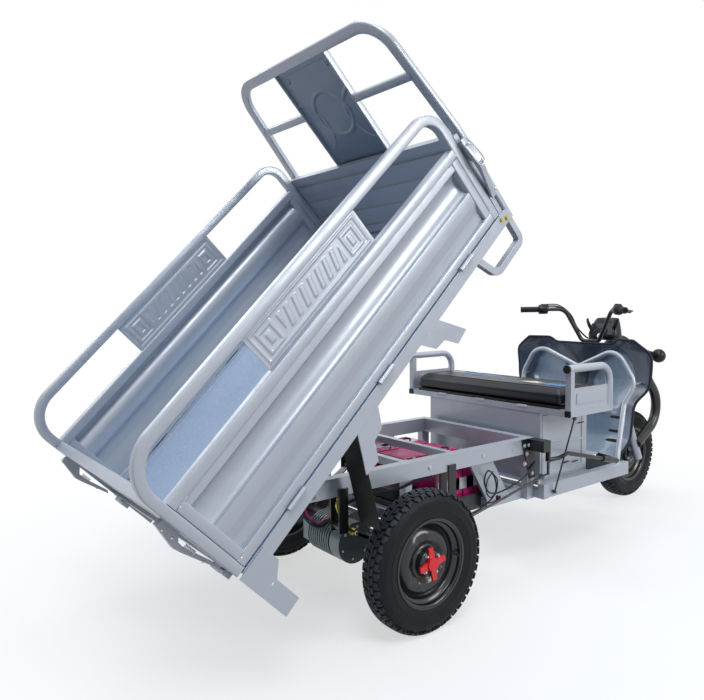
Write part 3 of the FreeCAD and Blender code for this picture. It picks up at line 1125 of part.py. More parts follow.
def make_front_hoop():
    """Hoop over the front board: bent tube, flanged panel with a raised ring, and two cross bars."""
    deep = d.front_hoop_deep
    u = d.front_hoop_u + deep / 2
    mid = d.front_hoop_tube / 2
    low_half = d.front_hoop_low_half
    high_half = d.front_hoop_high_half
    foot = d.bed_sill_high + d.run_gap
    top = d.front_hoop_top - mid
    points = [Vector(u, -low_half, foot), Vector(u, -low_half, d.front_top), Vector(u, -high_half, top),
              Vector(u, high_half, top), Vector(u, low_half, d.front_top), Vector(u, low_half, foot)]
    bends = [2 * d.front_hoop_bend, d.front_hoop_bend, d.front_hoop_bend, 2 * d.front_hoop_bend]
    pieces = [square_tube(points, bends, Vector(1, 0, 0), deep, d.front_hoop_tube)]
    wall = d.front_panel_wall
    half = d.front_panel_half
    sill = d.front_top - d.board_rail
    high = d.front_hoop_top - d.front_hoop_tube - sill + d.weld_lap
    pieces.append(Part.makeBox(wall, 2 * half, high, Vector(u - wall / 2, -half, sill)))
    slope = (low_half - high_half) / (top - d.front_top)
    reach = low_half - slope * (d.front_bar_w - d.front_top) - d.front_hoop_tube / 3
    for side in (-1, 1):
        inner = side * half - (wall if side > 0 else 0)
        pieces.append(Part.makeBox(d.panel_flange, wall, high, Vector(u - d.panel_flange / 2, inner, sill)))
        start = half - wall if side > 0 else -reach
        pieces.append(Part.makeBox(deep, reach - half + wall, d.front_bar_high,
                                   Vector(u - deep / 2, start, d.front_bar_w)))
    middle = Vector(u - wall / 2 - d.ring_high, 0, sill + high / 2)
    thick = wall + 2 * d.ring_high
    ring = Part.makeCylinder(d.ring_outer, thick, middle, Vector(1, 0, 0))
    pieces.append(ring.cut(Part.makeCylinder(d.ring_inner, thick, middle, Vector(1, 0, 0))))
    node(formed("front_hoop", fused(pieces).removeSplitter()), "front_hoop", "bed")


def make_tailgate():
    """Ribbed tailgate between the rear posts, hinged along its lower edge, with two latches."""
    u0 = "0 - post_out"
    v0 = "0 - tail_half"
    span = "2 * tail_half"
    high = "tail_top - tail_bottom"
    pieces = [box("tail_rail_top", u0, v0, "tail_top - board_rail", "tail_deep", span, "board_rail"),
              box("tail_rail_low", u0, v0, "tail_bottom", "tail_deep", span, "board_rail"),
              box("tail_sheet", "tail_deep / 2 - post_out", v0, "tail_bottom", "sheet_wall", span, high)]
    for i in (1, 2):
        w = "tail_bottom + %d * (tail_top - tail_bottom) / 3" % i
        pieces.append(box("tail_rib_%d" % i, "tail_deep / 2 - post_out - tail_rib", v0, w, "tail_rib", span,
                          "board_rail"))
    for name, v in (("right", v0), ("left", "tail_half - board_rail")):
        pieces.append(box("tail_post_" + name, u0, v, "tail_bottom", "tail_deep", "board_rail", high))
    for name, v in (("right", "2 * bed_sill_wide - bed_half"),
                    ("left", "bed_half - 2 * bed_sill_wide - hinge_length")):
        start = v + " + hinge_length / 4 + run_gap"
        long = "hinge_length / 2 - 2 * run_gap"
        pieces.append(rod("tail_barrel_" + name, "y", "tail_axis_u", start, "tail_bottom",
                          "hinge_radius - run_gap", long))
        pieces.append(box("tail_leaf_" + name, "tail_axis_u", start, "tail_bottom",
                          "hinge_radius + sheet_wall", long,
                          "hinge_radius - run_gap"))
    for name, side in (("right", -1), ("left", 1)):
        points = latch_points(d.post_out, d.latch_low, d.latch_long)
        latch = prism([Vector(-u, side * (d.tail_half - d.latch_in), w) for u, w in points],
                      Vector(0, -side * d.latch_wide, 0))
        pieces.append(formed("tail_latch_" + name, latch))
    node(join("tailgate", pieces), "tailgate", "bed")


def make_side_plates():
    """Stepped plates before and behind each wheel, and the drilled plates at the rear corners."""
    shape = (("arch_in", "0 - run_gap"), ("arch_step_one", "0 - run_gap - arch_first_drop"),
             ("arch_step_two", "0 - run_gap - arch_second_drop"),
             ("arch_step_three", "0 - run_gap - arch_third_drop"),
             ("arch_tip", "0 - run_gap - arch_tip_drop"), ("arch_out", "0 - run_gap"))
    plates = []
    for name, sign in (("front", "+"), ("rear", "-")):
        corners = [("arch_x %s %s" % (sign, u), w) for u, w in shape]
        plates += side_plate("arch_" + name, corners, "plate_wall", "plate_wall - bed_half", "bed_half")
    top = "bed_sill_high - sheet_wall"
    rear = "0 - tail_plate_rear"
    corners = ((rear, top), ("tail_plate_front", top), ("tail_plate_front", "0 - bed_sill_high / 2"),
               ("tail_plate_waist", "0 - tail_plate_step"), ("tail_plate_waist", "0 - tail_plate_low"),
               (rear, "0 - tail_plate_low"))
    plates += side_plate("tail_plate", corners, "plate_wall", "0 - bed_half - run_gap",
                         "bed_half + run_gap + plate_wall")
    whole = join("side_plates_whole", plates)
    hole = rod("tail_holes", "y", "tail_hole_u", "0 - bed_half - 2 * overrun", "0 - tail_hole_w", "tail_hole",
               "2 * bed_half + 4 * overrun")
    node(cut("bed_side_plates", whole, hole), "bed_side_plates", "bed")


def make_underbody():
    """Hinge barrels, the two loop handles and the mud flaps."""
    barrels = []
    loops = []
    flaps = []
    lean = Rotation(Vector(0, 1, 0), -d.flap_angle)
    under = Part.makeBox(d.bed_long, 2 * d.bed_half, d.bed_half, Vector(0, -d.bed_half, -d.run_gap))
    under.Placement = bed_place()
    low = d.handle_tube / 2 - d.handle_high
    for side in (-1, 1):
        v = side * (d.bed_half + d.hinge_radius)
        w = d.bed_sill_high + d.board_gap / 2
        for u in (d.hinge_first, d.hinge_second, d.hinge_third):
            start = Vector(u - d.hinge_length / 2, v, w)
            barrels.append(Part.makeCylinder(d.hinge_radius - d.run_gap, d.hinge_length, start,
                                             Vector(1, 0, 0)))
        v = side * d.handle_y
        points = [Vector(d.handle_front, v, -d.run_gap), Vector(d.handle_front, v, low),
                  Vector(d.handle_back + d.handle_back_bend, v, low), Vector(d.handle_back, v, -d.run_gap)]
        bends = [d.handle_front_bend, d.handle_back_bend]
        loop = square_tube(points, bends, Vector(0, 1, 0), d.handle_tube, d.handle_tube)
        sill = Part.makeBox(d.bed_long, d.bed_sill_wide, d.bed_sill_high,
                            Vector(0, v - d.bed_sill_wide / 2, -d.run_gap))
        loops.append(loop.cut(sill))
        v = d.flap_y if side > 0 else -d.flap_y - d.flap_wide
        flap = Part.makeBox(d.flap_thick, d.flap_wide, d.flap_long, Vector(0, 0, -d.flap_long))
        flap.Placement = Placement(Vector(-d.flap_x, v, d.flap_z), lean)
        flaps.append(flap.cut(under))
    node(formed("board_hinges", fused(barrels)), "board_hinges", "bed")
    node(formed("bed_handles", fused(loops)), "bed_handles", "bed")
    node(formed("mud_flaps", fused(flaps)), "mud_flaps", "tipped")


def bed_place():
    """Placement of the tipped bed, from its pivot."""
    tip = math.radians(d.tip_angle)
    x = -d.pivot_x - d.pivot_u * math.cos(tip) - d.bed_drop * math.sin(tip)
    z = d.pivot_z - d.pivot_u * math.sin(tip) + d.bed_drop * math.cos(tip)
    return Placement(Vector(x, 0, z), Rotation(Vector(0, 1, 0), -d.tip_angle))


make_wheels()
make_chassis()
make_floor()
make_batteries()
make_seat_box()
make_seat_frame()
make_seat()
make_shield()
make_head()
make_fork()
make_handlebar()
make_lamps()
make_bumper()
make_axle()
make_motor()
make_springs()
make_brakes()
make_bed_floor()
make_board("right", -1)
make_board("left", 1)
make_front_board()
make_tailgate()
make_side_plates()
make_underbody()
doc.recompute()

for thing, frame in NODES:
    if frame == "bed":
        thing.Placement = bed_place().multiply(thing.Placement)
doc.recompute()

low = min(thing.Shape.optimalBoundingBox(False).XMin for thing, frame in NODES)
high = max(thing.Shape.optimalBoundingBox(False).XMax for thing, frame in NODES)
shift = Vector(-(low + high) / 2, 0, 0)
for thing, frame in NODES:
    thing.Placement = Placement(shift, Rotation()).multiply(thing.Placement)
doc.recompute()

faults = []
for thing in doc.Objects:
    if "Invalid" in thing.State or "Error" in thing.State:
        faults.append(thing.Name)
for thing, frame in NODES:
    if thing.Shape.isNull() or not thing.Shape.isValid():
        faults.append(thing.Label)
if faults:
    raise RuntimeError("failed pieces: " + ", ".join(faults))

os.makedirs("parts", exist_ok=True)
for thing, frame in NODES:
    thing.Shape.exportStep("parts/" + thing.Label + ".step")
    extent = thing.Shape.optimalBoundingBox(False)
    sides = (extent.XMin, extent.XMax, extent.YMin, extent.YMax, extent.ZMin, extent.ZMax)
    print(thing.Label, len(thing.Shape.Solids), [round(v, 1) for v in sides])
for alias in ALIASES:
    print("size", alias, size(alias))
print("shift", round(shift.x, 3))
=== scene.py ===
"""Electric cargo tricycle with its bed tipped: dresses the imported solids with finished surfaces."""
import json
import math

import bmesh
import bpy
import numpy as np
from mathutils import Matrix, Vector
from mathutils.bvhtree import BVHTree


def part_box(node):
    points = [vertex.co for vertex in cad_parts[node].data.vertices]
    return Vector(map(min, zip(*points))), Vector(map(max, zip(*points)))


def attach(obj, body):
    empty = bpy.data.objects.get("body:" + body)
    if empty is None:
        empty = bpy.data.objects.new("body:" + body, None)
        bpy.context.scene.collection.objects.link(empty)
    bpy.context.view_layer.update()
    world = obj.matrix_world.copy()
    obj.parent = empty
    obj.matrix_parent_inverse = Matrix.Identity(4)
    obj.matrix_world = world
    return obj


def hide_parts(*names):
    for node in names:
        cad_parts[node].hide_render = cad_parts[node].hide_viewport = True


bl_info = {
    "name": "Cargo Tricycle Dresser",
    "version": (1, 1, 0),
    "blender": (4, 5, 0),
    "location": "View3D > Sidebar > Tricycle",
    "description": "Adds finished surfaces to an electric cargo tricycle with a tipping bed",
    "category": "Object",
}

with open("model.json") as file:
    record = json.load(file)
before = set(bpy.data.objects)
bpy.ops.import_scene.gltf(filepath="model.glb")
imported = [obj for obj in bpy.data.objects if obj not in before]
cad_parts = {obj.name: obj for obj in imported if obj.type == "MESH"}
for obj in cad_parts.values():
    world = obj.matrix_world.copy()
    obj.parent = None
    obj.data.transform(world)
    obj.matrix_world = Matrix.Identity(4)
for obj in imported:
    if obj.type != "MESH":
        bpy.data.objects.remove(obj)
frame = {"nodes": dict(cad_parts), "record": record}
NODES = frame["nodes"]
BODY_OF = {node: body for body, nodes in frame["record"]["behaviour"]["bodies"].items() for node in nodes}
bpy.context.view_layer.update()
FINISH = {}

# Two frames that the builders use, both in mm: the axle frame, X = 0 over the rear axle, and the bed frame,
# u along the tipped bed, v across it and w square to its floor.
MM = 0.001
AXLE_X = (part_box("rear_right_tyre")[0].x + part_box("rear_right_tyre")[1].x) / 2
TIP = math.radians(44.6)
PIVOT_X, PIVOT_Z = -498.0, 540.0
PIVOT_U = 262.0
BED_DROP = 45.0
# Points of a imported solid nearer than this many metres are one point
WELD = 2e-5


# Settings a user would change

class TricycleSettings(bpy.types.PropertyGroup):
    """Sizes and colours of the finish."""
    paint_colour: bpy.props.FloatVectorProperty(
        name="Body paint", description="Colour of the silver powder coat", subtype="COLOR_GAMMA",
        size=3, min=0.0, max=1.0, default=(0.690, 0.716, 0.757))
    cap_colour: bpy.props.FloatVectorProperty(
        name="Hub caps", description="Colour of the cross-armed hub caps", subtype="COLOR_GAMMA",
        size=3, min=0.0, max=1.0, default=(0.88, 0.05, 0.13))
    battery_colour: bpy.props.FloatVectorProperty(
        name="Batteries", description="Colour of the battery cases", subtype="COLOR_GAMMA",
        size=3, min=0.0, max=1.0, default=(0.70, 0.04, 0.40))
    shield_colour: bpy.props.FloatVectorProperty(
        name="Leg shield", description="Colour of the moulded leg shield", subtype="COLOR_GAMMA",
        size=3, min=0.0, max=1.0, default=(0.27, 0.33, 0.41))
    edge_radius: bpy.props.FloatProperty(
        name="Edge radius", description="Rounding of pressed and cut steel edges", subtype="DISTANCE",
        unit="LENGTH", min=0.0002, max=0.004, default=0.0016)
    tread_depth: bpy.props.FloatProperty(
        name="Tread depth", description="Depth of the grooves between the tread blocks", subtype="DISTANCE",
        unit="LENGTH", min=0.001, max=0.012, default=0.0065)
    tread_blocks: bpy.props.IntProperty(
        name="Tread blocks", description="Blocks round each row of the tread", min=24, max=60, default=50)


def settings():
    """The scene's settings."""
    return bpy.context.scene.tricycle


# Colours and materials

def tone(code):
    """sRGB hex or sRGB values to linear colour with alpha."""
    if isinstance(code, str):
        code = [int(code[i:i + 2], 16) / 255 for i in (1, 3, 5)]
    values = np.array(code, float)
    linear = np.where(values <= 0.04045, values / 12.92, ((values + 0.055) / 1.055) ** 2.4)
    return (*[float(v) for v in linear], 1.0)


def put(tree, kind, links=(), **values):
    """Adds a node, sets its attributes or inputs, and links (input, node, output) triples."""
    made = tree.nodes.new(kind)
    for key, value in values.items():
        if hasattr(made, key):
            setattr(made, key, value)
        else:
            made.inputs[key.replace("_", " ")].default_value = value
    for socket, source, outlet in links:
        tree.links.new(source.outputs[outlet], made.inputs[socket])
    return made


def start(name):
    """Empty material with object coordinates."""
    made = bpy.data.materials.new(name)
    made.use_nodes = True
    tree = made.node_tree
    tree.nodes.clear()
    return made, tree, put(tree, "ShaderNodeTexCoord")


def texture(tree, place, kind, scale, **values):
    """Noise or Voronoi texture on object coordinates."""
    return put(tree, "ShaderNodeTex" + kind, [("Vector", place, "Object")], Scale=scale, **values)


def surface(tree, links, **values):
    """Principled surface joined to the output."""
    shader = put(tree, "ShaderNodeBsdfPrincipled", links, **values)
    put(tree, "ShaderNodeOutputMaterial", [("Surface", shader, 0)])
    return shader


def spread(tree, source, outlet, low, high, to_low, to_high):
    """Maps a node's value from one range to another."""
    made = put(tree, "ShaderNodeMapRange", [("Value", source, outlet)])
    for key, value in (("From Min", low), ("From Max", high), ("To Min", to_low), ("To Max", to_high)):
        made.inputs[key].default_value = value
    return made


def blended(tree, factor, outlet, first, second):
    """Mix of two sRGB colours by a node's value; either may be a (node, output) pair."""
    mix = put(tree, "ShaderNodeMix", [("Factor", factor, outlet)], data_type="RGBA")
    for slot, colour in ((6, first), (7, second)):
        if isinstance(colour, tuple) and isinstance(colour[0], bpy.types.Node):
            tree.links.new(colour[0].outputs[colour[1]], mix.inputs[slot])
        else:
            mix.inputs[slot].default_value = tone(colour)
    return mix


def coated(name, colour, shade, metallic=0.35, rough=0.36, grain_mm=14.0, height=0.0001, coat=0.2, haze=0.15):
    """Powder coat baked on pressed steel: the eye sees a faint orange peel, cloudy shade and dust that dulls
    the shine. Orange peel about 1 mm wide is drawn 14 mm wide, because a finer one shows as specks."""
    made, tree, place = start(name)
    clouds = texture(tree, place, "Noise", 2.6, Detail=4.0, Roughness=0.55)
    peel = texture(tree, place, "Noise", 1000 / grain_mm, Detail=1.0)
    dust = texture(tree, place, "Noise", 20.0, Detail=2.0)
    share = spread(tree, clouds, "Fac", 0.38, 0.72, 0.0, haze)
    mix = blended(tree, share, 0, colour, shade)
    gloss = spread(tree, dust, "Fac", 0.3, 0.75, rough - 0.05, rough + 0.10)
    bump = put(tree, "ShaderNodeBump", [("Height", peel, "Fac")], Strength=0.04, Distance=height)
    surface(tree, [("Base Color", mix, 2), ("Roughness", gloss, 0), ("Normal", bump, 0)],
            Metallic=metallic, Coat_Weight=coat, Coat_Roughness=0.15)
    return made


def moulded(name, colour, rough=0.45, grain_mm=0.8, height=0.0002, coat=0.0, light=1.5, shine=0.5):
    """Moulded plastic or rubber: the eye sees a fine grain, handled patches and a soft sheen on curves."""
    made, tree, place = start(name)
    cells = texture(tree, place, "Voronoi", 1000 / grain_mm)
    haze = texture(tree, place, "Noise", 16.0, Detail=5.0)
    gloss = spread(tree, haze, "Fac", 0.3, 0.7, max(rough - 0.08, 0.02), rough + 0.1)
    mix = put(tree, "ShaderNodeMix", [("Factor", haze, "Fac")], data_type="RGBA")
    mix.inputs[6].default_value = tone(colour)
    mix.inputs[7].default_value = tuple(min(c * light + 0.002, 1.0) for c in tone(colour)[:3]) + (1.0,)
    bump = put(tree, "ShaderNodeBump", [("Height", cells, "Distance")], Strength=0.2, Distance=height)
    surface(tree, [("Base Color", mix, 2), ("Roughness", gloss, 0), ("Normal", bump, 0)], Coat_Weight=coat,
            Specular_IOR_Level=shine)
    return made


def marked(name, low, high, layer, rough=0.45, coat=0.0, shine=0.5):
    """Moulding whose tone follows a layer kept on its points: on a tyre, block tops paler than the near-black
    rest; on the shield, painted light that pales the knee hollows and low part; handled patches in the shine."""
    made, tree, place = start(name)
    share = put(tree, "ShaderNodeAttribute", attribute_name=layer)
    haze = texture(tree, place, "Noise", 14.0, Detail=5.0)
    gloss = spread(tree, haze, "Fac", 0.3, 0.7, rough - 0.05, rough + 0.1)
    mix = blended(tree, share, "Fac", low, high)
    surface(tree, [("Base Color", mix, 2), ("Roughness", gloss, 0)], Coat_Weight=coat,
            Specular_IOR_Level=shine)
    return made


def skylit_sheet(name):
    """Sheet with spangle patches about 12 mm wide in a pale blue-grey: painted sky light on faces that look
    up.
    """
    made, tree, place = start(name)
    cells = texture(tree, place, "Voronoi", 85.0)
    clouds = texture(tree, place, "Noise", 5.0, Detail=5.0)
    patches = spread(tree, clouds, "Fac", 0.3, 0.7, 0.0, 0.8)
    tint = blended(tree, patches, 0, "#B9CDE6", "#A6BEDB")
    mix = blended(tree, cells, "Distance", (tint, 2), "#C6D7EB")
    gloss = spread(tree, cells, "Distance", 0.0, 0.6, 0.30, 0.44)
    surface(tree, [("Base Color", mix, 2), ("Roughness", gloss, 0)], Metallic=0.35)
    return made


def vinyl_top(name):
    """Embossed seat vinyl: the eye sees black with a fine leather grain and handled patches in the shine."""
    made, tree, place = start(name)
    grain = texture(tree, place, "Voronoi", 1000 / 1.6)
    shine = texture(tree, place, "Noise", 14.0, Detail=4.0)
    gloss = spread(tree, shine, "Fac", 0.3, 0.7, 0.32, 0.48)
    bump = put(tree, "ShaderNodeBump", [("Height", grain, "Distance")], Strength=0.3, Distance=0.0004)
    surface(tree, [("Roughness", gloss, 0), ("Normal", bump, 0)], Base_Color=tone("#0E151D"),
            Coat_Weight=0.05, Specular_IOR_Level=0.35)
    return made


def plain(name, colour, rough=0.5, metallic=0.0, speck_mm=2.0, second=None, **more):
    """Small parts, zinc plated, printed or moulded: the eye sees a faint mottle of two near tones."""
    made, tree, place = start(name)
    noise = texture(tree, place, "Noise", 1000 / speck_mm, Detail=3.0)
    mix = blended(tree, noise, "Fac", colour, second or colour)
    gloss = spread(tree, noise, "Fac", 0.3, 0.7, max(rough - 0.05, 0.02), rough + 0.07)
    surface(tree, [("Base Color", mix, 2), ("Roughness", gloss, 0)], Metallic=metallic, **more)
    return made


def make_finishes():
    """Every finish of the tricycle, by the name the pieces ask for."""
    now = settings()
    paint = tuple(now.paint_colour)
    FINISH["silver"] = coated("powder_coated_steel_silver", paint, "#A2ABB9", 0.3, 0.34)
    # Painted shade: a darker copy of the silver coat for the front hoop's panel, which faces back.
    FINISH["silver_painted_shade"] = coated("powder_coated_silver_painted_shade", "#75869A", "#697B91", 0.2, 0.36)
    # Painted sky light: a paler, bluer sheet for the floor's faces that look up, which are silver like the
    # rest.
    FINISH["inside"] = skylit_sheet("sheet_painted_skylight_pale_blue")
    FINISH["black_steel"] = coated("enamelled_steel_black", "#0A0C10", "#12151A", 0.0, 0.34, coat=0.1)
    FINISH["wheel"] = coated("enamelled_rim_black", "#05080E", "#0A121E", 0.1, 0.30, coat=0.35)
    # The tyre's block tops near the crown are paler than the rest, by a layer kept on its points.
    FINISH["tyre"] = marked("vulcanised_rubber_tyre", "#04070C", "#2E3136", "pale_tops", 0.50, shine=0.22)
    FINISH["rubber"] = moulded("moulded_rubber_mat", "#161C24", 0.6, 1.2, shine=0.3)
    FINISH["flap"] = moulded("rubber_sheet_black", "#07090C", 0.5, 1.2, shine=0.2)
    FINISH["black_plastic"] = moulded("injection_moulded_abs_black", "#080B10", 0.36, shine=0.3)
    # Painted light: the shield's paler tone goes on the knee hollows and its low part, by a layer on its
    # points.
    FINISH["shield"] = marked("polypropylene_shield_blue_grey", tuple(now.shield_colour), "#8FA3B9", "hollow_painted_light",
                              0.26, 0.35)
    FINISH["shield_dark"] = moulded("polypropylene_spine_dark", "#2C3745", 0.3, 1.0, 0.0001, coat=0.3,
                                    light=1.2)
    FINISH["red"] = moulded("moulded_abs_red", tuple(now.cap_colour), 0.3, 1.0, 0.0001, coat=0.2, light=1.08)
    FINISH["battery"] = moulded("moulded_battery_case_magenta", tuple(now.battery_colour), 0.32, 1.0, 0.0001,
                                light=1.1)
    FINISH["band"] = plain("printed_band_white", "#E6E3EA", 0.4, second="#CFCAD6")
    FINISH["alloy"] = coated("cast_aluminium_grey", "#7E8A8C", "#5C6468", 0.7, 0.42, 0.9, coat=0.0)
    FINISH["chrome"] = coated("black_chromed_bar", "#3C3B40", "#2A2A30", 0.9, 0.22, 3.0, 0.00001, coat=0.0)
    FINISH["zinc"] = plain("zinc_plated_steel", "#C9CDD2", 0.28, 1.0, 1.5, "#A9AFB6")
    FINISH["yellow_zinc"] = plain("yellow_passivated_zinc", "#CDBB4B", 0.3, 0.9, 1.5, "#9C8C3A")
    FINISH["vinyl"] = vinyl_top("embossed_vinyl_black")
    FINISH["cream"] = plain("printed_vinyl_cream", "#E9E2C4", 0.5, second="#D8CFAC")
    FINISH["blue"] = plain("printed_vinyl_blue", "#2E86C4", 0.45, second="#2473AE")
    FINISH["grey"] = plain("printed_vinyl_grey", "#5E6E80", 0.5, second="#4C5A6A")
    FINISH["orange"] = plain("moulded_lens_amber", "#D9772B", 0.2, second="#C9661E", Coat_Weight=0.5)
    FINISH["glass"] = plain("moulded_lens_smoked", "#1B222C", 0.12, second="#222B37", Coat_Weight=0.6)
    FINISH["clear"] = plain("moulded_lens_clear", "#C8D2DC", 0.1, second="#DCE4EC", Coat_Weight=0.8)
    # Painted shade: near-black sheets laid where slots open, for the dark inside of the openings.
    FINISH["dark"] = plain("open_slot_painted_shade", "#050608", 0.8, second="#0A0B0D")


# Placing

def metres(points):
    """Points in millimetres of the row frame as points in metres."""
    return points * MM


def axle(points):
    """Points of the axle frame as row-frame points in metres."""
    out = np.array(points, float) * MM
    out[..., 0] += AXLE_X
    return out


def bed(points):
    """Points of the bed frame as row-frame points in metres: a turn by the tip angle about the pivot."""
    p = np.array(points, float)
    cos, sin = math.cos(TIP), math.sin(TIP)
    x0 = PIVOT_X - PIVOT_U * cos - BED_DROP * sin
    z0 = PIVOT_Z - PIVOT_U * sin + BED_DROP * cos
    x = x0 + p[..., 0] * cos - p[..., 2] * sin
    z = z0 + p[..., 0] * sin + p[..., 2] * cos
    return axle(np.stack([x, p[..., 1], z], -1))


# Surfaces

def grid_faces(rows, cols, round_rows=False, round_cols=False):
    """Quads of a grid of rows by cols points; either direction may close on itself."""
    down = np.arange(rows if round_rows else rows - 1)
    over = np.arange(cols if round_cols else cols - 1)
    a, b = np.meshgrid(down, over, indexing="ij")
    c, e = (a + 1) % rows, (b + 1) % cols
    return np.stack([a * cols + b, a * cols + e, c * cols + e, c * cols + b], -1).reshape(-1, 4)


def net(across, up):
    """Grid of places: each way is (low, high, count)."""
    return np.meshgrid(np.linspace(*across), np.linspace(*up))


def curve(points, count):
    """Catmull-Rom curve through the points: each span is a cubic whose slopes are half the chord past its
    ends."""
    p = np.asarray(points, float)
    p = np.vstack([2 * p[:1] - p[1:2], p, 2 * p[-1:] - p[-2:-1]])
    spans = len(p) - 3
    t = np.linspace(0, spans, count)
    i = np.minimum(t.astype(int), spans - 1)
    f = (t - i)[:, None]
    a, b, c, e = p[i], p[i + 1], p[i + 2], p[i + 3]
    square, cube = 2 * a - 5 * b + 4 * c - e, 3 * b - a - 3 * c + e
    return 0.5 * (2 * b + (c - a) * f + square * f ** 2 + cube * f ** 3)


def bent(points, bends, steps=12):
    """Tube line: straight runs through the points, each corner an arc of its bend radius that touches both
    runs."""
    points = np.asarray(points, float)
    bends = np.broadcast_to(np.asarray(bends, float), (len(points) - 2,))
    out = [points[:1]]
    for before, corner, after, radius in zip(points, points[1:], points[2:], bends):
        a = (before - corner) / np.linalg.norm(before - corner)
        b = (after - corner) / np.linalg.norm(after - corner)
        half = math.acos(np.clip(a @ b, -1, 1)) / 2
        centre = corner + (a + b) / np.linalg.norm(a + b) * radius / math.sin(half)
        near = corner + a * radius / math.tan(half) - centre
        far = corner + b * radius / math.tan(half) - centre
        turn = math.pi - 2 * half
        t = np.linspace(0, 1, steps + 1)[:, None]
        out.append(centre + (np.sin((1 - t) * turn) * near + np.sin(t * turn) * far) / math.sin(turn))
    out.append(points[-1:])
    return np.vstack(out)


def ring(radius, count=12, flat=1.0):
    """Circle as a profile, its height multiplied by flat."""
    turn = np.arange(count) * 2 * math.pi / count
    return np.stack([np.cos(turn) * radius, np.sin(turn) * radius * flat], -1)


def box_ring(wide, high, radius=3.0, steps=3):
    """Rectangle with rounded corners as a profile: four quarter circles joined by straight sides."""
    turn = np.linspace(0, math.pi / 2, steps + 1)
    corner = np.stack([np.cos(turn), np.sin(turn)], -1) * radius
    out = []
    for quarter, (x, y) in enumerate(((1, 1), (-1, 1), (-1, -1), (1, -1))):
        cos, sin = math.cos(quarter * math.pi / 2), math.sin(quarter * math.pi / 2)
        turned = corner @ np.array([[cos, sin], [-sin, cos]])
        out.append(turned + np.array([x * (wide / 2 - radius), y * (high / 2 - radius)]))
    return np.vstack(out)


def sweep(path, profile, up=(0, 0, 1), closed=False, size=None):
    """Profile carried along a path: each point is the path's plus its side direction times x and its rise
    times y."""
    path = np.asarray(path, float)
    if closed:
        along = np.roll(path, -1, 0) - np.roll(path, 1, 0)
    else:
        along = np.gradient(path, axis=0)
    along /= np.linalg.norm(along, axis=1, keepdims=True)
    side = np.cross(along, np.broadcast_to(np.asarray(up, float), along.shape))
    side /= np.linalg.norm(side, axis=1, keepdims=True)
    rise = np.cross(side, along)
    size = np.ones(len(path)) if size is None else np.asarray(size, float)
    scaled = profile[None] * size[:, None, None]
    points = path[:, None] + side[:, None] * scaled[..., :1] + rise[:, None] * scaled[..., 1:]
    rows, cols = points.shape[:2]
    faces = grid_faces(rows, cols, closed, True).tolist()
    if not closed:
        faces += [list(range(cols)), list(range((rows - 1) * cols, rows * cols))[::-1]]
    return points.reshape(-1, 3), faces


def wire(points, radius, count=40, sides=8, up=(0, 0, 1)):
    """Round wire along the smooth curve through the points."""
    return sweep(curve(points, count), ring(radius, sides), up=up)


def lathe(profile, centre, axis, count=48, ripple=None):
    """Profile of (along, radius) pairs turned about an axis; ripple(angle, radius) may add to along."""
    profile = np.asarray(profile, float)
    axis = np.asarray(axis, float) / np.linalg.norm(axis)
    first = np.cross(axis, (0, 0, 1) if abs(axis[2]) < 0.9 else (1, 0, 0))
    first /= np.linalg.norm(first)
    second = np.cross(axis, first)
    turn = np.arange(count) * 2 * math.pi / count
    along = np.broadcast_to(profile[:, :1], (len(profile), count)).copy()
    if ripple is not None:
        along += ripple(turn[None, :], profile[:, 1:])
    out = (first * np.cos(turn)[:, None] + second * np.sin(turn)[:, None])[None] * profile[:, 1, None, None]
    points = np.asarray(centre, float) + along[..., None] * axis + out
    return points.reshape(-1, 3), grid_faces(len(profile), count, False, True).tolist()


def slab(front, back):
    """Closed sheet between two grids of points of the same shape, its four edges joined."""
    rows, cols = front.shape[:2]
    total = rows * cols
    top = grid_faces(rows, cols)
    edge = np.concatenate([np.arange(cols), np.arange(1, rows) * cols + cols - 1,
                           (rows - 1) * cols + np.arange(cols - 2, -1, -1),
                           np.arange(rows - 2, 0, -1) * cols])
    after = np.roll(edge, -1)
    sides = np.stack([edge, edge + total, after + total, after], -1)
    faces = np.vstack([top, top[:, ::-1] + total, sides]).tolist()
    return np.vstack([front.reshape(-1, 3), back.reshape(-1, 3)]), faces


def bolt(at, way, radius=7.0, high=6.0):
    """Hexagon head on a round washer: a six-sided lathe over a short round one."""
    at = np.asarray(at, float)
    washer = lathe([(0, 0), (0, radius * 1.35), (1.6, radius * 1.35), (1.6, 0)], at, way, 16)
    head = lathe([(1.2, 0), (1.2, radius), (high * 0.8, radius), (high, radius * 0.8), (high, 0)], at, way, 6)
    return [washer, head]


def rivet(at, way, radius=5.0, high=2.5):
    """Round head: a quarter ellipse turned about its axis."""
    turn = np.linspace(0, math.pi / 2, 5)
    profile = [(-1, 0), (-1, radius)] + list(zip(np.sin(turn) * high, np.cos(turn) * radius))
    return lathe(profile, at, way, 12)


def sided(points, side):
    """Points with y turned to a side: 1 is left and -1 is right."""
    return np.asarray(points, float) * (1, side, 1)


def step(value, low, high):
    """Smooth step from 0 at low to 1 at high: three times the square less twice the cube."""
    t = np.clip((np.asarray(value, float) - low) / (high - low), 0, 1)
    return t * t * (3 - 2 * t)


def linked(name, data):
    """New object of a mesh, lamp or camera, in the scene."""
    piece = bpy.data.objects.new(name, data)
    bpy.context.scene.collection.objects.link(piece)
    return piece


def cleaned(mesh, gap, then=None):
    """Merges points nearer than the gap, and runs one more step on the merged mesh."""
    work = bmesh.new()
    work.from_mesh(mesh)
    bmesh.ops.remove_doubles(work, verts=work.verts, dist=gap)
    if then:
        then(work)
    work.to_mesh(mesh)
    work.free()


def points_of(mesh):
    """A mesh's points as rows of x, y and z."""
    flat = np.empty(len(mesh.vertices) * 3)
    mesh.vertices.foreach_get("co", flat)
    return flat.reshape(-1, 3)


def move_points(mesh, points):
    """Gives a mesh's points new places."""
    mesh.vertices.foreach_set("co", points.ravel())
    mesh.update()


